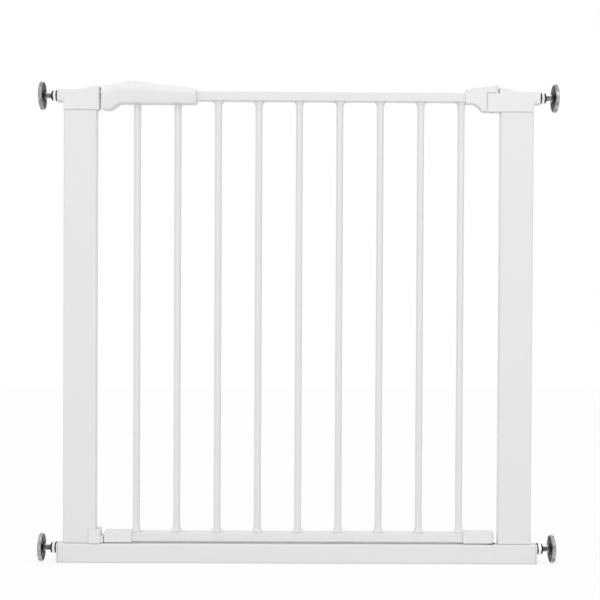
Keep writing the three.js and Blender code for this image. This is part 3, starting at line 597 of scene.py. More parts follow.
def makeBracketBody(way, inner, crest):  # a post's head, with a crest, the spindle's stub and a plug below
    outer, seat, top, low = post["outer"], bracket["seat"], bracket["stubTop"], bracket["stubBottom"]
    flat, fillet, tip = bracket["flatTo"], bracket["fillet"], frameEnd - 0.6
    outline = [(inner, seat), (outer, seat), (outer, low - fillet)]
    outline += [(outer + fillet - fillet * math.cos(a), low - fillet + fillet * math.sin(a))
                for a in map(math.radians, (22.5, 45, 67.5))]
    outline += [(outer + fillet, low), (tip, low), (tip, top), (flat, top)]
    outline += bezier((flat, top), (flat - 12, top), (inner + 16, crest), (inner, crest))
    half = bracket["depth"] / 2
    body = prism("body", [(way * x, z) for x, z in outline], "y", (-half, half), bracket["round"], 4)
    proud = stub["proud"]
    swellings = ((stub["from"], -stub["sink"]), (outer, proud * 0.75), (frameEnd - 1, proud),
                 (frameEnd - 0.3, proud - 0.25), (frameEnd, proud - 0.9))
    rings = []
    for x, swelling in swellings:
        ring = roundedRing(bracket["depth"] + 2 * swelling, top - low + 2 * swelling, stub["radius"], 8)
        rings.append([along("x", u, v + (top + low) / 2, way * x) for u, v in ring])
    join(body, loft("stub", rings))
    inside = 2 * (post["wall"] + gap)
    plugRing = roundedRing(post["width"] - inside, post["depth"] - inside, bracket["plugCorner"])
    plug = [(u + way * middleOfPost, v) for u, v in plugRing]
    join(body, prism("plug", plug, "z", (bracket["plugTo"], seat + 3), 0.4, 2))
    bore = sorted((way * bracket["boreFrom"], way * (frameEnd + 1)))
    cut(body, rod("bore", "x", bracket["bore"], bore, (0, spindleHeights["top"])),
        rod("pilot", "y", screwHole["radius"], (0, screwHole["reach"]),
            (way * middleOfPost, bracketScrewHeight)))
    return body


def makeLatchBracket():  # its pocket takes the bolt's tip
    inner = latchPocket["inner"]
    body = makeBracketBody(-1, inner, bracket["latchCrest"])
    pocket = box("pocket", (-inner - latchPocket["depth"], -inner + 1),
                 (-latchPocket["half"], latchPocket["half"]), (latchPocket["low"], latchPocket["high"]))
    cut(body, pocket)
    finishPiece(body, "latchBracket", "frame", whitePlastic, ["latch_bracket"])


def makeHingeBracket():  # its knuckle is flush with its faces and ends in an arc about the pin
    body = makeBracketBody(1, knuckle["inner"], bracket["hingeCrest"])
    radius, root, top = knuckle["radius"], knuckle["root"], knuckle["top"]
    half, seat = bracket["depth"] / 2, bracket["seat"]
    turn = math.asin(knuckle["corner"] / radius)
    cornerX = swingAxis - radius * math.cos(turn)
    edge = [(cornerX + 1.4, half), (cornerX + 0.95, half - 0.06), (cornerX + 0.52, half - 0.23)]
    plan = [(root, -half), (root, half)] + edge
    steps = 12  # of the arc, on each side of its middle
    turns = [turn * (1 - i / steps) for i in range(2 * steps + 1)]
    plan += [(swingAxis - radius * math.cos(a), radius * math.sin(a)) for a in turns]
    plan += [(x, -y) for x, y in reversed(edge)]
    block = box("block", (swingAxis - radius - 3, root), (-half, half), (seat, top), bracket["round"])
    combine(block, [prism("plan", plan, "z", (seat - 1, top + 1))], "INTERSECT")
    join(body, block)
    cut(body, rod("pinHole", "z", knuckle["hole"], (seat - 1, top + 1), (swingAxis, 0)))
    finishPiece(body, "hingeBracket", "frame", whitePlastic, ["hinge_bracket"])


makeLatchBracket()
makeHingeBracket()
print("brackets made")


# the catch at the foot of the left post, the hinge bush in the foot rail, and the frame's screws
catch = {"from": 292, "to": 309, "bottom": 29.3, "top": 50, "thickness": 2.7, "edge": 0.7}
groove = {"tip": 287.6, "base": 30.2, "floor": 36, "top": 40.2, "half": 3.3, "stepHalf": 9, "edge": 0.8}
bush = {"bottom": 12, "radius": 5.5, "flange": 8, "flangeTop": 30.1, "hex": 3.45, "chamfer": 0.8}


def makeCatch():  # a clip round the post, and a grooved step that holds the door's tongue
    inside = post["depth"] / 2 + gap
    outside = inside + catch["thickness"]
    bottom, top, web = catch["bottom"], catch["top"], innerFace - gap
    near, far = -catch["from"], -catch["to"]
    plan = [(far, -outside), (near, -outside), (near, outside), (far, outside),
            (far, inside), (-web, inside), (-web, -inside), (far, -inside)]
    body = prism("clip", plan, "z", (bottom, top), catch["edge"], 3)
    step = box("step", (-web - 0.5, -groove["tip"]), (-groove["stepHalf"], groove["stepHalf"]),
               (groove["base"], groove["top"]), groove["edge"])
    join(body, step)
    cut(body, box("slot", (near, -groove["tip"] + 1), (-groove["half"], groove["half"]),
                  (groove["floor"], groove["top"] + 1)),
        rod("hole", "y", screwHole["radius"], (0, outside + 1), catchScrewPlace))
    finishPiece(body, "lowerCatch", "frame", whitePlastic, ["lower_catch"])


def makeBush():  # its flange lies on the foot rail, and a hexagon hole takes the lower pin
    bearing, top = footRail["height"] + gap, bush["flangeTop"]
    bottom, chamfer = bush["bottom"], bush["chamfer"]
    profile = [(0, bottom), (bush["radius"] - chamfer, bottom), (bush["radius"], bottom + chamfer),
               (bush["radius"], bearing), (bush["flange"] - 0.2, bearing), (bush["flange"], bearing + 0.2),
               (bush["flange"], top - 0.3), (bush["flange"] - 0.3, top), (0, top)]
    body = lathe("bush", profile, "z", (swingAxis, 0), 48)
    cut(body, rod("hex", "z", bush["hex"], (0, 40), (swingAxis, 0), 6))
    finishPiece(body, "hingeBush", "hinge_bush", blackPlastic, ["hinge_bush"])


screwSize = {"shank": 1.7, "head": 3.5, "headHeight": 2, "point": 1.2, "recess": 1.15, "slot": 0.6,
             "pitch": 1.2}


def makeScrewShape(length, size):  # pan head at the origin, shank along -Z, cross recess on top
    head, high, shank = size["head"], size["headHeight"], size["shank"]
    profile = [(0, -length), (shank * 0.35, -length + 0.1), (shank * 0.86, size["point"] - length)]
    plainNeck, root = 0.6, shank * 0.84
    turns = int((length - size["point"] - plainNeck) / size["pitch"])
    for i in range(turns):
        z = size["point"] - length + i * size["pitch"]
        profile += [(root, z + 0.1), (shank, z + size["pitch"] * 0.5), (root, z + size["pitch"] * 0.9)]
    profile += [(shank * 0.9, -0.3), (shank, 0), (head - 0.15, 0), (head, 0.15), (head, high * 0.35),
                (head * 0.93, high * 0.66), (head * 0.75, high * 0.87), (head * 0.45, high * 0.98), (0, high)]
    screw = lathe("screw", profile, "z", (0, 0), 28)
    reach, half = size["recess"] * head * 0.5, size["slot"] / 2
    cross = [(-half, reach), (-half, half), (-reach, half), (-reach, -half), (-half, -half), (-half, -reach),
             (half, -reach), (half, -half), (reach, -half), (reach, half), (half, half), (half, reach)]
    return cut(screw, prism("cross", cross, "z", (high * 0.35, high + 1)))


def makeScrewTree():  # one screw on each point of a mesh, turned by the same angle about X
    tree, given = newTree("screwsOnPoints", {"Screw": "Object", "Tilt": "Float", "Seed": "Int",
                                             "Finish": "Material"})
    shape = addNode(tree, "GeometryNodeObjectInfo", {"Object": given["Screw"]})
    index = addNode(tree, "GeometryNodeInputIndex").outputs[0]
    turn = addNode(tree, "FunctionNodeRandomValue", {"ID": index, "Seed": given["Seed"]}, data_type="FLOAT")
    turn.inputs[3].default_value = 6.28  # the most, a full turn
    spin = addNode(tree, "ShaderNodeCombineXYZ", {"Z": turn.outputs[1]})
    tilt = addNode(tree, "ShaderNodeCombineXYZ", {"X": given["Tilt"]})
    placed = addNode(tree, "GeometryNodeInstanceOnPoints", {"Points": given["Geometry"],
                     "Instance": shape.outputs["Geometry"], "Rotation": tilt.outputs[0]})
    turned = addNode(tree, "GeometryNodeRotateInstances", {"Instances": placed.outputs[0],
                     "Rotation": spin.outputs[0]})
    endTree(tree, turned.outputs[0], given["Finish"])
    return tree


screwTree = makeScrewTree()


def makeScrews(name, body, points, length, size, tilt, seed, nodes):  # one piece for screws of a kind
    template = makeScrewShape(length, size)
    obj = pointsObject(name, points)
    grow(obj, screwTree, {"Screw": template, "Tilt": tilt, "Seed": seed, "Finish": brightSteel})
    remove(template)
    finishPiece(obj, name, body, brightSteel, nodes, 50)


makeCatch()
makeBush()
onPost = post["depth"] / 2 + gap
facingBack = -math.pi / 2  # a screw's tilt that puts its head to the back
frameScrewLength = 7.5
frameScrewPlaces = [(-middleOfPost, onPost, bracketScrewHeight), (middleOfPost, onPost, bracketScrewHeight),
                    (catchScrewPlace[0], onPost + catch["thickness"] + gap, catchScrewPlace[1])]
makeScrews("frameScrews", "frame", frameScrewPlaces, frameScrewLength, screwSize, facingBack, 3,
           ["latch_bracket_screw", "hinge_bracket_screw", "catch_screw"])
print("catch, bush and frame screws made")


# the door's rails and bars
topRail = {"from": -262, "to": 268}
lowRail = {"from": -244.7, "to": 246.2}
fittingScrewX = 249.9
bars = {"count": 9, "pitch": 60.0, "first": -239.3, "radius": 5.2, "weld": 3.4, "weldHeight": 2.6,
        "leastWeld": 0.45, "lumps": 1.1, "seed": 7}
halfRail = railSize["side"] / 2


def makeRails():
    side, reach = railSize["side"], screwHole["reach"]
    for name, node, span, middle in (("doorTopRail", "door_top_rail", topRail, railSize["topMiddle"]),
                                     ("doorLowRail", "door_low_rail", lowRail, railSize["lowMiddle"])):
        rail = tube(name, "x", side, side, railSize, (span["from"], span["to"]), (0, middle))
        if span is topRail:
            for x in handleScrewPlaces:
                cut(rail, rod("hole", "y", screwHole["radius"], (-reach, reach), (x, middle)))
            cut(rail, rod("hole", "z", screwHole["small"], (middle, middle + reach), (fittingScrewX, 0)))
        finishPiece(rail, name, "door", whitePaint, [node])


def makeBarTree():  # a row of bars whose ends swell into small, slightly uneven welds
    tree, given = newTree("barRow", {"Count": "Int", "Pitch": "Float", "First": "Float", "Bottom": "Float",
                          "Height": "Float", "Radius": "Float", "Weld": "Float", "Weld Height": "Float",
                          "Least Weld": "Float", "Lumps": "Float", "Rail Half": "Float", "Seed": "Int",
                          "Finish": "Material"})
    start = addNode(tree, "ShaderNodeCombineXYZ", {"X": given["First"], "Z": given["Bottom"]})
    offset = addNode(tree, "ShaderNodeCombineXYZ", {"X": given["Pitch"]})
    line = addNode(tree, "GeometryNodeMeshLine", {"Count": given["Count"], "Start Location": start.outputs[0],
                                                  "Offset": offset.outputs[0]}, mode="OFFSET")
    index = addNode(tree, "GeometryNodeInputIndex").outputs[0]
    chance = addNode(tree, "FunctionNodeRandomValue", {"ID": index, "Seed": given["Seed"]}, data_type="FLOAT")
    marked = addNode(tree, "GeometryNodeStoreNamedAttribute", {"Geometry": line.outputs[0],
                     "Name": "weldSeed", "Value": chance.outputs[1]}, data_type="FLOAT", domain="POINT")
    bar = addNode(tree, "GeometryNodeMeshCylinder", {"Vertices": 32, "Side Segments": 56,
                  "Radius": given["Radius"], "Depth": given["Height"]})
    halfHeight = calc(tree, "MULTIPLY", given["Height"], 0.5)
    lift = addNode(tree, "ShaderNodeCombineXYZ", {"Z": halfHeight})
    stood = addNode(tree, "GeometryNodeTransform", {"Geometry": bar.outputs["Mesh"],
                                                    "Translation": lift.outputs[0]})
    rows = addNode(tree, "GeometryNodeInstanceOnPoints", {"Points": marked.outputs[0],
                   "Instance": stood.outputs[0]})
    real = addNode(tree, "GeometryNodeRealizeInstances", {"Geometry": rows.outputs[0]})
    position = addNode(tree, "GeometryNodeInputPosition").outputs[0]
    x, y, z = addNode(tree, "ShaderNodeSeparateXYZ", {"Vector": position}).outputs
    # the rings of points move towards both ends, where the welds need them
    crowding = 0.98
    share = calc(tree, "DIVIDE", calc(tree, "SUBTRACT", z, given["Bottom"]), given["Height"])
    wave = calc(tree, "SINE", calc(tree, "MULTIPLY", share, 2 * math.pi))
    drawn = calc(tree, "SUBTRACT", share, calc(tree, "MULTIPLY", wave, crowding / (2 * math.pi)))
    rise = calc(tree, "MULTIPLY", drawn, given["Height"])
    # a weld dies away with the distance from its end
    fromEnd = calc(tree, "MINIMUM", rise, calc(tree, "SUBTRACT", given["Height"], rise))
    away = calc(tree, "DIVIDE", fromEnd, given["Weld Height"])
    swell = calc(tree, "EXPONENT", calc(tree, "MULTIPLY", away, -1))
    fromFirst = calc(tree, "SUBTRACT", x, given["First"])
    number = calc(tree, "ROUND", calc(tree, "DIVIDE", fromFirst, given["Pitch"]))
    centre = calc(tree, "ADD", given["First"], calc(tree, "MULTIPLY", number, given["Pitch"]))
    aside = calc(tree, "SUBTRACT", x, centre)
    # each bar reads its own part of the noise
    apart, steepness, lumpSize = 90, 0.5, 0.35
    seed = addNode(tree, "GeometryNodeInputNamedAttribute", {"Name": "weldSeed"}, data_type="FLOAT")
    ownPart = calc(tree, "MULTIPLY", seed.outputs[0], apart)
    height = calc(tree, "ADD", ownPart, calc(tree, "MULTIPLY", rise, steepness))
    around = addNode(tree, "ShaderNodeCombineXYZ", {"X": aside, "Y": y, "Z": height})
    lumps = addNode(tree, "ShaderNodeTexNoise", {"Vector": around.outputs[0], "Scale": lumpSize,
                                                "Detail": 1.0})
    uneven = calc(tree, "ADD", calc(tree, "MULTIPLY", lumps.outputs[0], given["Lumps"]), given["Least Weld"])
    amount = calc(tree, "MULTIPLY", swell, uneven)
    weld = calc(tree, "DIVIDE", given["Weld"], given["Radius"])
    wider = calc(tree, "ADD", 1.0, calc(tree, "MULTIPLY", amount, weld))
    across = calc(tree, "MULTIPLY", y, wider)
    across = calc(tree, "MAXIMUM", calc(tree, "MINIMUM", across, given["Rail Half"]),
                  calc(tree, "MULTIPLY", given["Rail Half"], -1))  # no wider than the rail
    sideways = calc(tree, "ADD", centre, calc(tree, "MULTIPLY", aside, wider))
    upwards = calc(tree, "ADD", given["Bottom"], rise)
    moved = addNode(tree, "ShaderNodeCombineXYZ", {"X": sideways, "Y": across, "Z": upwards})
    shaped = addNode(tree, "GeometryNodeSetPosition", {"Geometry": real.outputs[0],
                                                       "Position": moved.outputs[0]})
    endTree(tree, shaped.outputs[0], given["Finish"])
    return tree


def makeBars():
    bottom = railSize["lowMiddle"] + halfRail + gap
    height = railSize["topMiddle"] - halfRail - gap - bottom
    obj = pointsObject("bars", [(0, 0, 0)])
    grow(obj, makeBarTree(), {"Count": bars["count"], "Pitch": bars["pitch"], "First": bars["first"],
         "Bottom": bottom, "Height": height, "Radius": bars["radius"], "Weld": bars["weld"],
         "Weld Height": bars["weldHeight"], "Least Weld": bars["leastWeld"], "Lumps": bars["lumps"],
         "Rail Half": halfRail, "Seed": bars["seed"], "Finish": whitePaint})
    finishPiece(obj, "bars", "door", whitePaint,
                [f"bar_{i + 1}" for i in range(bars["count"])])


makeRails()
makeBars()
print("door rails and bars made")


# the caps of the low rail, and the lower hinge pin
cap = {"height": 17, "depth": 17, "plugLength": 20, "plugCorner": 0.7, "edge": 1.3, "round": 3}
latchPeg = {"from": -286.6, "tip": -291.4, "root": 3, "half": 3, "bottom": 36.3, "top": 40, "edge": 0.5}
hingeCap = {"end": 293, "hexCover": 3}
lowerPin = {"radius": 3.1, "bottom": 14, "edge": 0.4}
capBottom = railSize["lowMiddle"] - cap["height"] / 2
capTop = railSize["lowMiddle"] + cap["height"] / 2


def capPlug(span):  # the part of a cap inside the rail
    inside = 2 * (railSize["wall"] + gap)
    ring = roundedRing(railSize["side"] - inside, railSize["side"] - inside, cap["plugCorner"])
    return prism("plug", [(u, v + railSize["lowMiddle"]) for u, v in ring], "x", span, 0.3, 2)


def makeLatchCap():  # its front is left bare; a tongue at its end drops into the catch
    start, end, radius, half = latchPeg["from"], lowRail["from"] - gap, cap["round"], cap["depth"] / 2
    turns = [math.radians(a) for a in range(0, 91, 15)]
    outline = [(end, capBottom), (end, capTop)]
    roundX, topZ, bottomZ = start + radius, capTop - radius, capBottom + radius
    outline += [(roundX - radius * math.sin(a), topZ + radius * math.cos(a)) for a in turns]
    outline += [(roundX - radius * math.cos(a), bottomZ - radius * math.sin(a)) for a in turns]
    body = prism("cap", outline, "y", (-half, half), cap["edge"], 4)
    peg = box("peg", (latchPeg["tip"], start + latchPeg["root"]), (-latchPeg["half"], latchPeg["half"]),
              (latchPeg["bottom"], latchPeg["top"]), latchPeg["edge"])
    join(body, peg, capPlug((end - 2, end + cap["plugLength"])))
    finishPiece(body, "latchEndCap", "door", whitePlastic, ["latch_end_cap"])


def makeHingeCap():  # rounded at its end, with a hexagon socket for the lower pin
    start, end, half = lowRail["to"] + gap, hingeCap["end"], cap["depth"] / 2
    roundFrom = end - half * 0.8
    plan = [(start, half), (start, -half), (roundFrom, -half)]
    plan += bezier((roundFrom, -half), (end - 2, -half), (end, -half * 0.6), (end, 0))
    plan += bezier((end, 0), (end, half * 0.6), (end - 2, half), (roundFrom, half))
    body = prism("cap", plan, "z", (capBottom, capTop), cap["edge"], 4)
    join(body, capPlug((start - cap["plugLength"], start + 2)))
    socketTop = capTop - hingeCap["hexCover"]
    cut(body, rod("hex", "z", bush["hex"], (capBottom - 1, socketTop), (swingAxis, 0), 6))
    finishPiece(body, "hingeEndCap", "door", whitePlastic, ["hinge_end_cap"])


def makeLowerPin():  # a hexagon bar from the cap down into the bush
    top = capTop - hingeCap["hexCover"] - gap
    span = (lowerPin["bottom"], top)
    pin = rod("pin", "z", lowerPin["radius"], span, (swingAxis, 0), 6, lowerPin["edge"])
    finishPiece(pin, "lowerHingePin", "door", brightSteel, ["lower_hinge_pin"])


makeLatchCap()
makeHingeCap()
makeLowerPin()
print("end caps made")


# the door's upper hinge: a fitting on the end of the top rail, whose hook lies over the bracket's knuckle
fitting = {"from": 246.3, "depth": 18.6, "bottom": 683.3, "webBottom": 671.5, "hookRadius": 9.5, "top": 710.1,
           "lip": 701.5, "shoulder": 706.2, "edge": 0.9}
upperPin = {"radius": 3, "bottom": 676.5, "top": 707}
fittingScrew = {"shank": 1.6, "head": 2.5, "headHeight": 1.9, "point": 1, "recess": 1.1, "slot": 0.5,
                "pitch": 1.1, "length": 9}


def makeHingeFitting():
    start, top, lip, shoulder = (fitting[k] for k in ("from", "top", "lip", "shoulder"))
    bottom, webBottom = fitting["bottom"], fitting["webBottom"]
    end, seat = swingAxis - fitting["hookRadius"], bracket["seat"]
    hookEnd, hookUnder = swingAxis + fitting["hookRadius"], knuckle["top"] + gap
    side = [(start, bottom), (start + 10, bottom - 0.3)]
    side += bezier((start + 10, bottom - 0.3), (start + 14.7, bottom - 0.6), (start + 19.8, bottom - 4.4),
                   (start + 25.5, webBottom))
    side += [(end, webBottom), (end, hookUnder), (hookEnd, hookUnder), (hookEnd, top - 1.9)]
    side += [(hookEnd - 0.25, top - 0.9), (hookEnd - 0.9, top - 0.25), (hookEnd - 2, top)]
    side += bezier((hookEnd - 2, top), (swingAxis - 1, top + 0.2), (start + 24, shoulder),
                   (start + 9, shoulder), 14)
    side += [(start + 7, lip + 0.2), (start, lip)]
    half, reach = fitting["depth"] / 2, fitting["hookRadius"]
    body = prism("fitting", side, "y", (-half, half), fitting["edge"], 3)
    # seen from above, the hook ends in an arc about the pin
    turn, steps = math.asin(half / reach), 10
    turns = [turn * k / steps for k in range(-steps, steps + 1)]
    arcFrom = swingAxis + reach * math.cos(turn)
    plan = [(start - 2, half + 1), (start - 2, -half - 1), (arcFrom, -half - 1)]
    plan += [(swingAxis + reach * math.cos(a), reach * math.sin(a)) for a in turns]
    plan += [(arcFrom, half + 1)]
    combine(body, [prism("column", plan, "z", (seat - 2, top + 2))], "INTERSECT")
    # hollowed round the knuckle, which it swings about
    middle, clear = railSize["topMiddle"], halfRail + gap
    hollow = knuckle["radius"] + knuckle["airGap"]
    cut(body, rod("hollow", "z", hollow, (seat - 1, hookUnder), (swingAxis, 0), 96),
        box("socket", (start - 1, topRail["to"] + gap), (-clear, clear), (middle - clear, middle + clear)),
        rod("pinHole", "z", knuckle["hole"], (hookUnder - 1, upperPin["top"] + gap), (swingAxis, 0)),
        rod("screwHole", "z", screwHole["small"], (middle, top), (fittingScrewX, 0)))
    finishPiece(body, "upperHingeFitting", "door", whitePlastic, ["upper_hinge_fitting"])


def makeUpperPin():  # hangs in the hook and turns in the knuckle
    radius, low, high = upperPin["radius"], upperPin["bottom"], upperPin["top"]
    pin = lathe("pin", [(0, low), (radius - 1.4, low), (radius - 0.9, low + 0.3), (radius, low + 1.2),
                        (radius, high - 0.4), (radius - 0.4, high), (0, high)], "z", (swingAxis, 0), 40)
    finishPiece(pin, "upperHingePin", "door", brightSteel, ["upper_hinge_pin"])


makeHingeFitting()
makeUpperPin()
makeScrews("fittingScrew", "door", [(fittingScrewX, 0, fitting["lip"] + 0.1 + gap)],
           fittingScrew["length"], fittingScrew, 0.0, 5, ["fitting_screw"])
print("upper hinge made")


# the handle, two shells round the end of the top rail, and the latch inside it; its section is boxier
# where square is larger: at the back, in the front's upper half and in its lower half, which leans in
handle = {"from": -290.8, "to": -151.1, "depth": 34, "wall": 2.5, "square": 4.5, "squareHigh": 3,
          "squareLow": 18, "leanIn": 0.24, "leanFrom": 0.2, "leanCurve": 1.3, "startRound": 1.2,
          "endRound": 4.5, "bottom": 680.2, "lobe": 9.2, "lobeTo": 11, "lobeEnds": 28, "pillar": 4.6,
          "screwHead": 3.9, "screwSeat": 13.7, "screwLength": 26, "pilotTo": -13.5,
          "around": 96, "lengthwise": 96}
wholeHeight = (660, 725)  # from below the handle to above it
crestPoints = [(0, 708.1), (15.5, 708.6), (24.5, 710.7), (52.5, 712.5), (83.5, 709.1), (134.7, 703.8),
               (139.7, 703.2)]
slider = {"from": -262, "to": -222, "width": 17, "sideGap": 0.5, "floor": 708.4, "top": 712.3, "ridge": 1.1,
          "travel": 10.5, "stemFrom": -248, "stemTo": -232, "stemHalf": 4, "stemBottom": 701, "ribs": 4,
          "ribPitch": 2.4, "ribLength": 12.0, "ribThickness": 0.75, "ribSink": 0.62}
bolt = {"tip": -301.5, "top": 699.4, "thickness": 4.1, "width": 12, "edge": 0.5, "plateFrom": -287, "bend": 4,
        "plateTo": -222, "plateTop": 704.4, "plateGap": 0.7, "legFrom": -288, "legBottom": 681.5,
        "legEdge": 0.3, "boss": 2.4}
spring = {"from": -285.4, "to": -265.3, "radius": 3.7, "wire": 0.45, "turns": 8.0, "height": 687.5,
          "seatBottom": 673, "seatTop": 695}


def crestPoint(t):  # the handle's crest line, a smooth curve through its points
    points = [(handle["from"] + x, z) for x, z in crestPoints]
    place = (len(points) - 1) * t
    i = min(int(place), len(points) - 2)
    w = place - i
    p = [points[max(i - 1, 0)], points[i], points[i + 1], points[min(i + 2, len(points) - 1)]]
    return tuple((2 * b - 2 * c + (c - a) / 2 + (d - b) / 2) * w ** 3
                 + (-3 * b + 3 * c - (c - a) - (d - b) / 2) * w * w + (c - a) / 2 * w + b
                 for a, b, c, d in zip(*p))


def undersideAt(x):  # lower by the lobe at the latch end, then level
    low, high = handle["from"] + handle["lobeTo"], handle["from"] + handle["lobeEnds"]
    t = min(max((x - low) / (high - low), 0), 1)
    return handle["bottom"] - handle["lobe"] * (1 - t * t * (3 - 2 * t))


def handleRing(x, crest, inset):  # one section of the handle, smaller all round by the inset
    bottom = undersideAt(x) + inset
    halfHeight, halfDepth = (crest - inset - bottom) / 2, handle["depth"] / 2 - inset
    ring = []
    for i in range(handle["around"]):
        a = 2 * math.pi * (i + 0.5) / handle["around"]
        front = "squareLow" if math.sin(a) < 0 else "squareHigh"
        square = handle[front if math.cos(a) < 0 else "square"]
        y, z = (math.copysign(abs(s) ** (2 / square), s) for s in (math.cos(a), math.sin(a)))
        if y < 0:
            below = max(handle["leanFrom"] - z, 0) / (handle["leanFrom"] + 1)
            y *= 1 - handle["leanIn"] * below ** handle["leanCurve"]
        ring.append((x, halfDepth * y, bottom + halfHeight * (1 + z)))
    return ring


def handleBody(name, inset):  # the handle's whole shape, or with an inset the room inside it
    start, end = handle["from"] + inset, handle["to"] - inset
    small, large = handle["startRound"], handle["endRound"]
    rings = []
    for turn in (0, 0.25, 0.5, 0.75, 1):  # the latch end's small rounding
        a = turn * math.pi / 2
        rings.append(handleRing(start + small * (1 - math.cos(a)), crestPoint(0)[1],
                                inset + small * (1 - math.sin(a))))
    for i in range(1, handle["lengthwise"]):
        x, crest = crestPoint(i / handle["lengthwise"])
        if start + 1.6 < x < end - large - 0.4:
            rings.append(handleRing(x, crest, inset))
    for turn in (0, 0.2, 0.4, 0.6, 0.8, 0.95):  # the larger one of the end that the rail comes out of
        x = end - large * (1 - math.sin(turn * math.pi / 2))
        shrink = large * 0.9 * (1 - math.cos(turn * math.pi / 2))
        rings.append(handleRing(x, crestPoint(1)[1] + 0.05 * (end - x), inset + shrink))
    return loft(name, rings)


def handleWebs():  # slider floor, spring seat and a pillar round each screw
    inner, middle, clear = handle["depth"] / 2 - 1, railSize["topMiddle"], halfRail + gap
    webs = [box("floor", (slider["from"] - 14, slider["to"] + 18), (-11, 11),
                (slider["floor"] - handle["wall"], slider["floor"])),
            box("seat", (spring["to"] + gap, topRail["from"] - 0.4), (1 - inner, inner - 1),
                (spring["seatBottom"], spring["seatTop"]))]
    for x in handleScrewPlaces:
        pillar = rod("pillar", "y", handle["pillar"], (-inner, inner), (x, middle), 36)
        webs.append(cut(pillar, box("clear", (x - 5, x + 5), (-clear, clear), (middle - 9, middle + 9))))
    return [combine(web, [handleBody("trim", 1)], "INTERSECT") for web in webs]


def handleOpenings():  # for the rail, the bolt, the slider and its stem, and the two bars below
    middle, clear, floor = railSize["topMiddle"], halfRail + gap, slider["floor"]
    low, boltHalf = bolt["top"] - bolt["thickness"] - gap, bolt["width"] / 2 + gap
    wellHalf, stemHalf = slider["width"] / 2 + slider["sideGap"], slider["stemHalf"] + gap
    openings = [
        box("rail", (handle["to"] - 10, handle["to"] + 1), (-clear, clear), (middle - clear, middle + clear)),
        box("bolt", (handle["from"] - 1, handle["from"] + 6), (-boltHalf, boltHalf),
            (low, bolt["top"] + gap)),
        box("well", (slider["from"] - 2, slider["to"] + slider["travel"] + 1), (-wellHalf, wellHalf),
            (floor, floor + 14)),
        box("stem", (slider["stemFrom"] - 1, slider["stemTo"] + slider["travel"] + 1), (-stemHalf, stemHalf),
            (floor - 6, floor + 1))]
    for i in range(2):
        place = (bars["first"] + i * bars["pitch"], 0)
        openings.append(rod("bar", "z", bars["radius"] + gap, (wholeHeight[0], middle), place, 40))
    return openings


def makeHandleShells():
    shell = cut(handleBody("shell", 0), handleBody("hollow", handle["wall"]))
    join(shell, *handleWebs())
    cut(shell, *handleOpenings())
    middle, outside = railSize["topMiddle"], handle["depth"] / 2 + 1
    hole, seat = screwHole["radius"], handle["screwSeat"]
    for name, node, low, high in (("handleFrontShell", "handle_front_shell", -outside, -gap / 2),
                                  ("handleRearShell", "handle_rear_shell", gap / 2, outside)):
        half = bpy.data.objects.new(name, shell.data.copy())
        scene.collection.objects.link(half)
        side = box("side", (handle["from"] - 1, handle["to"] + 1), (low, high), wholeHeight)
        combine(half, [side], "INTERSECT")
        for x in handleScrewPlaces:
            if low < 0:
                cut(half, rod("pilot", "y", hole, (handle["pilotTo"], 1), (x, middle)))
            else:
                cut(half, rod("through", "y", hole, (-1, outside), (x, middle)),
                    rod("socket", "y", handle["screwHead"], (seat - gap, outside), (x, middle)))
        finishPiece(half, name, "door", whitePlastic, [node], 32)
    remove(shell)


makeHandleShells()
handleScrewSeats = [(x, handle["screwSeat"], railSize["topMiddle"]) for x in handleScrewPlaces]
makeScrews("handleScrews", "door", handleScrewSeats, handle["screwLength"], screwSize, facingBack, 11,
           ["handle_screw_1", "handle_screw_2"])
print("handle made")


def makeBolt():  # a flat plate with a tip for the bracket's pocket and a leg that presses the spring
    half, low = bolt["width"] / 2, bolt["top"] - bolt["thickness"]
    start, bend, end, top = bolt["plateFrom"], bolt["bend"], bolt["plateTo"], bolt["plateTop"]
    under = railSize["topMiddle"] + halfRail + bolt["plateGap"]
    side = [(bolt["tip"], low), (start + bend, low), (start + bend, under), (end, under), (end, top),
            (start, top), (start, bolt["top"]), (bolt["tip"] + 2.2, bolt["top"]), (bolt["tip"], low + 1.6)]
    body = prism("bolt", side, "y", (-half, half), bolt["edge"], 3)
    leg = box("leg", (bolt["legFrom"], spring["from"] - gap), (1 - half, half - 1),
              (bolt["legBottom"], low + 1), bolt["legEdge"])
    bossSpan = (bolt["legFrom"] + 1.2, spring["from"] + 3)
    boss = rod("boss", "x", bolt["boss"], bossSpan, (0, spring["height"]), 24)
    join(body, leg, boss)
    hole = slider["stemHalf"] + gap
    cut(body, box("hole", (slider["stemFrom"] - gap, slider["stemTo"] + gap), (-hole, hole),
                  (under - 1, top + 1)))
    finishPiece(body, "latchBolt", "latch", whitePlastic, ["latch_bolt"])


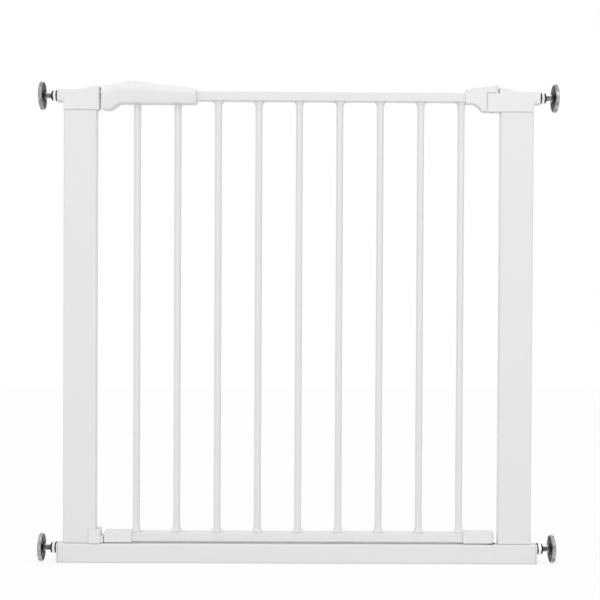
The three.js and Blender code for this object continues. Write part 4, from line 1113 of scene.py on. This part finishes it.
def makeRibTree():  # grip ribs laid across the slider's pad, mostly sunk in it
    tree, given = newTree("gripRibs", {"Count": "Int", "Pitch": "Float", "First": "Float", "Height": "Float",
                          "Length": "Float", "Thickness": "Float", "Finish": "Material"})
    start = addNode(tree, "ShaderNodeCombineXYZ", {"X": given["First"], "Z": given["Height"]})
    offset = addNode(tree, "ShaderNodeCombineXYZ", {"X": given["Pitch"]})
    line = addNode(tree, "GeometryNodeMeshLine", {"Count": given["Count"], "Start Location": start.outputs[0],
                                                  "Offset": offset.outputs[0]}, mode="OFFSET")
    rib = addNode(tree, "GeometryNodeMeshCylinder", {"Vertices": 20, "Side Segments": 10,
                  "Radius": given["Thickness"], "Depth": given["Length"]})
    laid = addNode(tree, "GeometryNodeTransform", {"Geometry": rib.outputs["Mesh"],
                                                   "Rotation": (math.pi / 2, 0, 0)})
    rows = addNode(tree, "GeometryNodeInstanceOnPoints", {"Points": line.outputs[0],
                                                          "Instance": laid.outputs[0]})
    both = addNode(tree, "GeometryNodeJoinGeometry")
    tree.links.new(rows.outputs[0], both.inputs[0])
    tree.links.new(given["Geometry"], both.inputs[0])
    endTree(tree, both.outputs[0], given["Finish"])
    return tree


def makeSlider():  # a thumb pad with a low ridge across its middle and ribs on both sides of it
    start, end, floor, top = slider["from"], slider["to"], slider["floor"] + gap, slider["top"]
    middle, ridgeTop = (start + end) / 2, top + slider["ridge"]
    side = [(start, floor), (end, floor), (end, top - 1.4)]
    side += bezier((end, top - 1.4), (end - 3, top - 0.8), (end - 6, top - 0.3), (middle + 7, top), 6)
    side += bezier((middle + 7, top), (middle + 3, top + 0.1), (middle + 3, ridgeTop), (middle, ridgeTop), 6)
    side += bezier((middle, ridgeTop), (middle - 3, ridgeTop), (middle - 3, top + 0.1), (middle - 7, top), 6)
    side += bezier((middle - 7, top), (start + 5, top - 0.1), (start + 2, top - 0.5), (start, top - 1), 6)
    half = slider["width"] / 2
    body = prism("slider", side, "y", (-half, half), 0.6, 3)
    join(body, box("stem", (slider["stemFrom"], slider["stemTo"]), (-slider["stemHalf"], slider["stemHalf"]),
                   (slider["stemBottom"], floor + 1), 0.3))
    tree = makeRibTree()
    for first in (middle + 9, middle - 16):
        grow(body, tree, {"Count": slider["ribs"], "Pitch": slider["ribPitch"], "First": first,
                          "Height": top - slider["ribSink"], "Length": slider["ribLength"],
                          "Thickness": slider["ribThickness"], "Finish": whitePlastic})
    finishPiece(body, "releaseSlider", "latch", whitePlastic, ["release_slider"])


def makeSpringTree():  # a coil of round wire along X
    tree, given = newTree("coilSpring", {"Turns": "Float", "Radius": "Float", "Length": "Float",
                                         "Wire": "Float", "Start": "Vector", "Finish": "Material"})
    coil = addNode(tree, "GeometryNodeCurveSpiral", {"Resolution": 36, "Rotations": given["Turns"],
                   "Start Radius": given["Radius"], "End Radius": given["Radius"], "Height": given["Length"]})
    ring = addNode(tree, "GeometryNodeCurvePrimitiveCircle", {"Resolution": 12, "Radius": given["Wire"]})
    wire = addNode(tree, "GeometryNodeCurveToMesh", {"Curve": coil.outputs[0],
                   "Profile Curve": ring.outputs[0], "Fill Caps": True})
    laid = addNode(tree, "GeometryNodeTransform", {"Geometry": wire.outputs[0],
                   "Rotation": (0, math.pi / 2, 0), "Translation": given["Start"]})
    endTree(tree, laid.outputs[0], given["Finish"])
    return tree


def makeSpring():  # the coil between the bolt's leg and its seat, which the bolt presses as it slides back; it keeps one shape here
    length = spring["to"] - spring["from"]
    obj = pointsObject("spring", [(0, 0, 0)])
    grow(obj, makeSpringTree(), {"Turns": spring["turns"], "Radius": spring["radius"],
         "Length": length - 2 * spring["wire"], "Wire": spring["wire"],
         "Start": (spring["from"] + spring["wire"], 0, spring["height"]), "Finish": springSteel})
    coil = finishPiece(obj, "latchSpring", "door", springSteel, ["latch_spring"], 60)
    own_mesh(coil)


makeBolt()
makeSlider()
makeSpring()
print("latch made")


# the four wall spindles: rod, nut, cup and rubber pad, each drawn outwards from the frame's end
thread = {"radius": 4, "reach": 42, "point": 0.8, "pitch": 1.25, "depth": 0.55, "valley": 1.25, "runOut": 1.2,
          "ballAt": 19.9, "ball": 2.9, "neck": 1.7, "shoulder": 1.3}
nut = {"length": 9.5, "corner": 8.6, "bore": 4.35, "flange": 8.8, "flangeThickness": 2, "dome": 3.2}
cup = {"radius": 20.8, "boss": 8.4, "bossEnd": 6.2, "mouth": 2.2, "back": 2.6, "rim": 1.2, "face": 20.3,
       "floor": 22.9, "rimEdge": 25.2}
pad = {"to": 25.9, "rings": (16.6, 13.2, 9.8, 6.4, 3.0), "ringDepth": 0.5}


def makeThreadTree():  # presses a screw thread into a turned rod that lies along X
    tree, given = newTree("screwThread", {"Pitch": "Float", "Depth": "Float", "Valley": "Float",
                          "Run Out": "Float", "From": "Float", "To": "Float", "Height": "Float",
                          "Way": "Float", "Finish": "Material"})
    position = addNode(tree, "GeometryNodeInputPosition").outputs[0]
    x, y, z = addNode(tree, "ShaderNodeSeparateXYZ", {"Vector": position}).outputs
    high = calc(tree, "SUBTRACT", z, given["Height"])
    out = calc(tree, "MULTIPLY", x, given["Way"])
    turn = calc(tree, "DIVIDE", calc(tree, "ARCTAN2", high, y), 2 * math.pi)
    phase = calc(tree, "FRACT", calc(tree, "ADD", calc(tree, "DIVIDE", out, given["Pitch"]), turn))
    # from 0 on a crest to 1 in a valley, whose floor is flat where Valley is over 1
    fromValley = calc(tree, "ABSOLUTE", calc(tree, "SUBTRACT", calc(tree, "MULTIPLY", phase, 2), 1))
    valley = calc(tree, "SUBTRACT", 1.0, fromValley)
    flat = calc(tree, "MINIMUM", calc(tree, "MULTIPLY", valley, given["Valley"]), 1.0)
    # the thread runs out at both ends
    fullFrom = calc(tree, "ADD", given["From"], given["Run Out"])
    fullTo = calc(tree, "SUBTRACT", given["To"], given["Run Out"])
    starts = addNode(tree, "ShaderNodeMapRange", {"Value": out, "From Min": given["From"],
                     "From Max": fullFrom}).outputs["Result"]
    ends = addNode(tree, "ShaderNodeMapRange", {"Value": out, "From Min": fullTo, "From Max": given["To"],
                   "To Min": 1.0, "To Max": 0.0}).outputs["Result"]
    deep = calc(tree, "MULTIPLY", flat, given["Depth"])
    press = calc(tree, "MULTIPLY", deep, calc(tree, "MULTIPLY", starts, ends))
    squares = calc(tree, "ADD", calc(tree, "MULTIPLY", y, y), calc(tree, "MULTIPLY", high, high))
    radius = calc(tree, "MAXIMUM", calc(tree, "SQRT", squares), 0.01)
    share = calc(tree, "SUBTRACT", 1.0, calc(tree, "DIVIDE", press, radius))
    upwards = calc(tree, "ADD", given["Height"], calc(tree, "MULTIPLY", high, share))
    moved = addNode(tree, "ShaderNodeCombineXYZ", {"X": x, "Y": calc(tree, "MULTIPLY", y, share),
                                                   "Z": upwards})
    shaped = addNode(tree, "GeometryNodeSetPosition", {"Geometry": given["Geometry"],
                                                       "Position": moved.outputs[0]})
    endTree(tree, shaped.outputs[0], given["Finish"])
    return tree


threadTree = makeThreadTree()


def arc(radius, start, end, centre, steps):
    # (radius, distance) points round a ball's centre, at angles measured from the wall side
    turns = [start + (end - start) * i / steps for i in range(steps + 1)]
    return [(radius * math.sin(a), centre + radius * math.cos(a)) for a in turns]


def makeSpindleRod(place, way, height):  # a threaded rod with a neck and a ball at the wall's end
    radius, reach, point, neck = (thread[k] for k in ("radius", "reach", "point", "neck"))
    opening = math.pi - math.asin(neck / thread["ball"])
    ballProfile = arc(thread["ball"], opening, 0, thread["ballAt"], 12)
    neckEnd = ballProfile[0][1]
    profile = [(0, -reach), (radius - point, -reach)]
    shoulder = neckEnd - thread["shoulder"]
    rows = int((shoulder + reach - point) / thread["pitch"] * 8)  # eight rows of points to a turn
    for i in range(rows + 1):
        profile.append((radius, point - reach + (shoulder - point + reach) * i / rows))
    profile += [(radius * 0.88, shoulder + 0.15), (neck + 0.25, shoulder + 0.45), (neck, shoulder + 0.6)]
    profile += ballProfile
    profile[-1] = (0, profile[-1][1])
    body = lathe("rod", profile, "x", (0, height), 28, way * frameEnd, way)
    grow(body, threadTree, {"Pitch": thread["pitch"], "Depth": thread["depth"], "Valley": thread["valley"],
         "Run Out": thread["runOut"], "From": frameEnd - reach + 0.4, "To": frameEnd + shoulder,
         "Height": float(height), "Way": float(way), "Finish": threadSteel})
    finishPiece(body, "threadedRod" + place, "spindle_" + nodePlace(place), threadSteel,
                ["spindle_rod_" + nodePlace(place)], 70)


def nodePlace(place):  # TopLeft becomes top_left
    return "".join("_" + c.lower() if c.isupper() else c for c in place).strip("_")


def makeNut(place, way, height):  # flanged hexagon nut, domed at its far end
    corner, length, bore, flange = nut["corner"], nut["length"], nut["bore"], nut["flange"]
    flat = corner * math.cos(math.pi / 6)
    thick = nut["flangeThickness"]
    domed = length - nut["dome"]
    dome = [(domed - 0.6, corner + 0.4), (domed, corner), (length - 2.2, corner - 0.45),
            (length - 1.2, corner - 1.2), (length - 0.5, corner - 2.2), (length, corner - 3.4)]
    # rows of (distance, radius, how much of a hexagon)
    rows = [(gap, bore + 0.4, 0), (gap, flange - 0.5, 0), (gap + 0.35, flange - 0.08, 0),
            (thick - 0.5, flange, 0), (thick - 0.1, flange - 0.25, 0), (thick, flange - 0.7, 0.35),
            (thick + 0.25, corner, 1)]
    rows += [(x, r, 1) for x, r in dome]
    rows += [(length - 0.02, bore + 0.7, 0), (length - 0.6, bore, 0), (gap + 0.6, bore, 0)]
    sides, rings = 96, []
    for distance, radius, hexed in rows:
        ring = []
        for i in range(sides):
            a = 2 * math.pi * i / sides
            edge = flat / math.cos((a % (math.pi / 3)) - math.pi / 6)
            r = radius * (1 - hexed) + min(radius, edge) * hexed
            ring.append(along("x", r * math.cos(a), height + r * math.sin(a), way * (frameEnd + distance)))
        rings.append(ring)
    body = loft("nut", rings, closed=True)
    finishPiece(body, "spindleNut" + place, "nut_" + nodePlace(place), nutSteel,
                ["spindle_nut_" + nodePlace(place)], 30)
    mark(body, "outward", [abs(v.co.x) - frameEnd * millimetre for v in body.data.vertices])


def mark(obj, label, values):  # one number in metres on each point, for the finish to follow
    obj.data.attributes.new(label, "FLOAT", "POINT").data.foreach_set("value", values)


def makeCup(place, way, height):  # a pressed cup whose boss holds the rod's ball
    radius, boss, floor, face, mouth = (cup[k] for k in ("radius", "boss", "floor", "face", "mouth"))
    at, socket, rim, rimEdge = thread["ballAt"], thread["ball"] + gap, cup["rim"], cup["rimEdge"]
    angle = math.asin(mouth / socket)
    back = at - cup["back"]
    outer = [(mouth, back + 0.15), (mouth + 0.2, back), (cup["bossEnd"] - 0.5, back),
             (cup["bossEnd"], back + 0.3), (boss - 1.1, face - 0.9), (boss - 0.6, face - 0.3),
             (boss + 0.4, face), (11.2, face), (11.5, face + 0.25), (12.7, face + 0.25), (13, face),
             (16.6, face), (16.9, face + 0.2), (17.7, face + 0.2), (18, face),  # two raised rings
             (radius - 1, face), (radius - 0.6, face + 0.08),
             (radius - 0.25, face + 0.3), (radius - 0.06, face + 0.6), (radius, face + 1),
             (radius, rimEdge - 0.3), (radius - 0.25, rimEdge), (radius - rim + 0.25, rimEdge),
             (radius - rim, rimEdge - 0.3), (radius - rim, floor + 0.2), (radius - rim - 0.2, floor),
             (mouth, floor)]
    profile = outer + arc(socket, angle, math.pi - angle, at, 10)
    body = lathe("cup", profile, "x", (0, height), 96, way * frameEnd, way)
    finishPiece(body, "wallCup" + place, "wall_pad_" + nodePlace(place), zincSteel,
                ["wall_cup_" + nodePlace(place)], 50)
    mark(body, "radius", [math.hypot(v.co.y, v.co.z - height * millimetre) for v in body.data.vertices])


def makeRubberPad(place, way, height):  # fills the cup and stands proud of it, with moulded grip rings
    start, end, radius = cup["floor"] + gap, pad["to"], cup["radius"] - cup["rim"] - gap
    profile = [(0, start), (radius - 0.2, start), (radius, start + 0.2), (radius, end - 0.7),
               (radius - 0.15, end - 0.3), (radius - 0.6, end)]
    deep = end - pad["ringDepth"]
    for r in pad["rings"]:
        profile += [(r + 0.7, end), (r + 0.35, deep), (r - 0.35, deep), (r - 0.7, end)]
    profile += [(0, end)]
    body = lathe("pad", profile, "x", (0, height), 72, way * frameEnd, way)
    finishPiece(body, "rubberPad" + place, "wall_pad_" + nodePlace(place), greyRubber,
                ["rubber_pad_" + nodePlace(place)], 50)


for high in ("Top", "Bottom"):
    for side, way in (("Left", -1), ("Right", 1)):
        for make in (makeSpindleRod, makeNut, makeCup, makeRubberPad):
            make(high + side, way, spindleHeights[high.lower()])
print("wall spindles made")


# the white room, its lamp and the camera
studio = {"level": 0.86, "front": 0.355, "top": 0.05, "left": 0.14, "least": 0.3, "sideDark": 0.85,
          "sideFrom": 0.5, "sideTo": 0.8, "floorSize": 6, "floorHeight": -0.0004, "floorColor": 0.76,
          "floorSeen": 1.0, "shadowShare": 0.12}
lamp = {"place": (1.0, -1.6, 2.0), "aim": (0, 0, 0.4), "size": 1.0, "power": 4.4}
camera = {"x": -0.0084, "distance": 1.77, "height": 0.4147, "pitch": 0.76, "yaw": 0.361, "roll": 0.28,
          "lens": 71.43, "sensor": 36, "nearest": 0.05, "farthest": 50}


def seenDirectly(tree):  # 1 for camera rays, and for what shows in metal or through glass
    path = tree.nodes.new("ShaderNodeLightPath").outputs
    mirrored = calc(tree, "MAXIMUM", path["Is Glossy Ray"], path["Is Transmission Ray"])
    return path["Is Camera Ray"], mirrored


def makeWorld():
    # a white room: soft light, strongest from before the gate and from its left, a backdrop that is white
    # to the eye, and darker sides for the bright metal to mirror
    world = bpy.data.worlds.new("studio")
    scene.world = world
    world.use_nodes = True
    tree = world.node_tree
    tree.nodes.clear()
    way = tree.nodes.new("ShaderNodeTexCoord").outputs["Generated"]
    x, y, z = addNode(tree, "ShaderNodeSeparateXYZ", {"Vector": way}).outputs
    front = calc(tree, "MULTIPLY", y, -studio["front"])
    above = calc(tree, "MULTIPLY", calc(tree, "MAXIMUM", z, 0.0), studio["top"])
    left = calc(tree, "MULTIPLY", x, -studio["left"])
    level = calc(tree, "ADD", calc(tree, "ADD", front, above), calc(tree, "ADD", left, studio["level"]))
    aside = spread(tree, calc(tree, "ABSOLUTE", x), 1.0, 1 - studio["sideDark"], studio["sideFrom"],
                   studio["sideTo"])
    direct, mirrored = seenDirectly(tree)
    soft = addNode(tree, "ShaderNodeBackground", {"Strength": calc(tree, "MAXIMUM", level, studio["least"])})
    mirror = addNode(tree, "ShaderNodeBackground", {"Strength": aside})
    backdrop = addNode(tree, "ShaderNodeBackground", {"Strength": 1.0})
    for each in (soft, mirror, backdrop):
        each.inputs["Color"].default_value = (1, 1, 1, 1)
    lit = addNode(tree, "ShaderNodeMixShader", {0: mirrored, 1: soft.outputs[0], 2: mirror.outputs[0]})
    mix = addNode(tree, "ShaderNodeMixShader", {0: direct, 1: lit.outputs[0], 2: backdrop.outputs[0]})
    tree.links.new(mix.outputs[0], tree.nodes.new("ShaderNodeOutputWorld").inputs["Surface"])


def makeLamp():
    data = bpy.data.lights.new("softBox", "AREA")
    data.size, data.energy = lamp["size"], lamp["power"]
    obj = bpy.data.objects.new("softBox", data)
    scene.collection.objects.link(obj)
    place, aim = Vector(lamp["place"]), Vector(lamp["aim"])
    turned = (place - aim).to_track_quat("Z", "Y").to_matrix().to_4x4()
    obj.matrix_world = Matrix.Translation(place) @ turned


def makeFloor():  # white to the eye, with the gate's faint shadow; duller in the light it gives back
    half, height = studio["floorSize"] / 2, studio["floorHeight"]
    mesh = bpy.data.meshes.new("floor")
    corners = [(x, y, height) for x, y in ((-half, -half), (half, -half), (half, half), (-half, half))]
    mesh.from_pydata(corners, [], [(0, 1, 2, 3)])
    floor = bpy.data.objects.new("studioFloor", mesh)
    scene.collection.objects.link(floor)
    material, tree, shader = newMaterial("studioFloor", (0.6, 0.6, 0.6), 0.9, specular=0.0)
    seen = calc(tree, "MAXIMUM", *seenDirectly(tree))
    plain, bright = [studio["floorColor"]] * 3, [studio["floorSeen"]] * 3
    tree.links.new(tint(tree, seen, plain, bright), shader.inputs["Base Color"])
    glow = addNode(tree, "ShaderNodeEmission", {"Strength": 1.0})
    glow.inputs["Color"].default_value = (1, 1, 1, 1)
    share = calc(tree, "MULTIPLY", seen, 1 - studio["shadowShare"])
    mix = addNode(tree, "ShaderNodeMixShader", {0: share, 1: shader.outputs[0], 2: glow.outputs[0]})
    tree.links.new(mix.outputs[0], tree.nodes["Material Output"].inputs["Surface"])
    mesh.materials.append(material)
    floor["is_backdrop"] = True


def makeCamera():
    pitch, yaw, roll = (math.radians(camera[k]) for k in ("pitch", "yaw", "roll"))
    ahead = Vector((math.sin(yaw) * math.cos(pitch), math.cos(yaw) * math.cos(pitch), -math.sin(pitch)))
    right = ahead.cross(Vector((0, 0, 1))).normalized()
    up = right.cross(ahead)
    right, up = (math.cos(roll) * right + math.sin(roll) * up, math.cos(roll) * up - math.sin(roll) * right)
    data = bpy.data.cameras.new("camera")
    data.lens, data.sensor_width = camera["lens"], camera["sensor"]
    data.clip_start, data.clip_end = camera["nearest"], camera["farthest"]
    obj = bpy.data.objects.new("camera", data)
    scene.collection.objects.link(obj)
    turned = Matrix((right, up, -ahead)).transposed().to_4x4()
    obj.matrix_world = Matrix.Translation((camera["x"], -camera["distance"], camera["height"])) @ turned
    scene.camera = obj


makeWorld()
makeLamp()
makeFloor()
makeCamera()
scene.view_settings.view_transform = "Standard"

low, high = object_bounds()
print("scene ready")
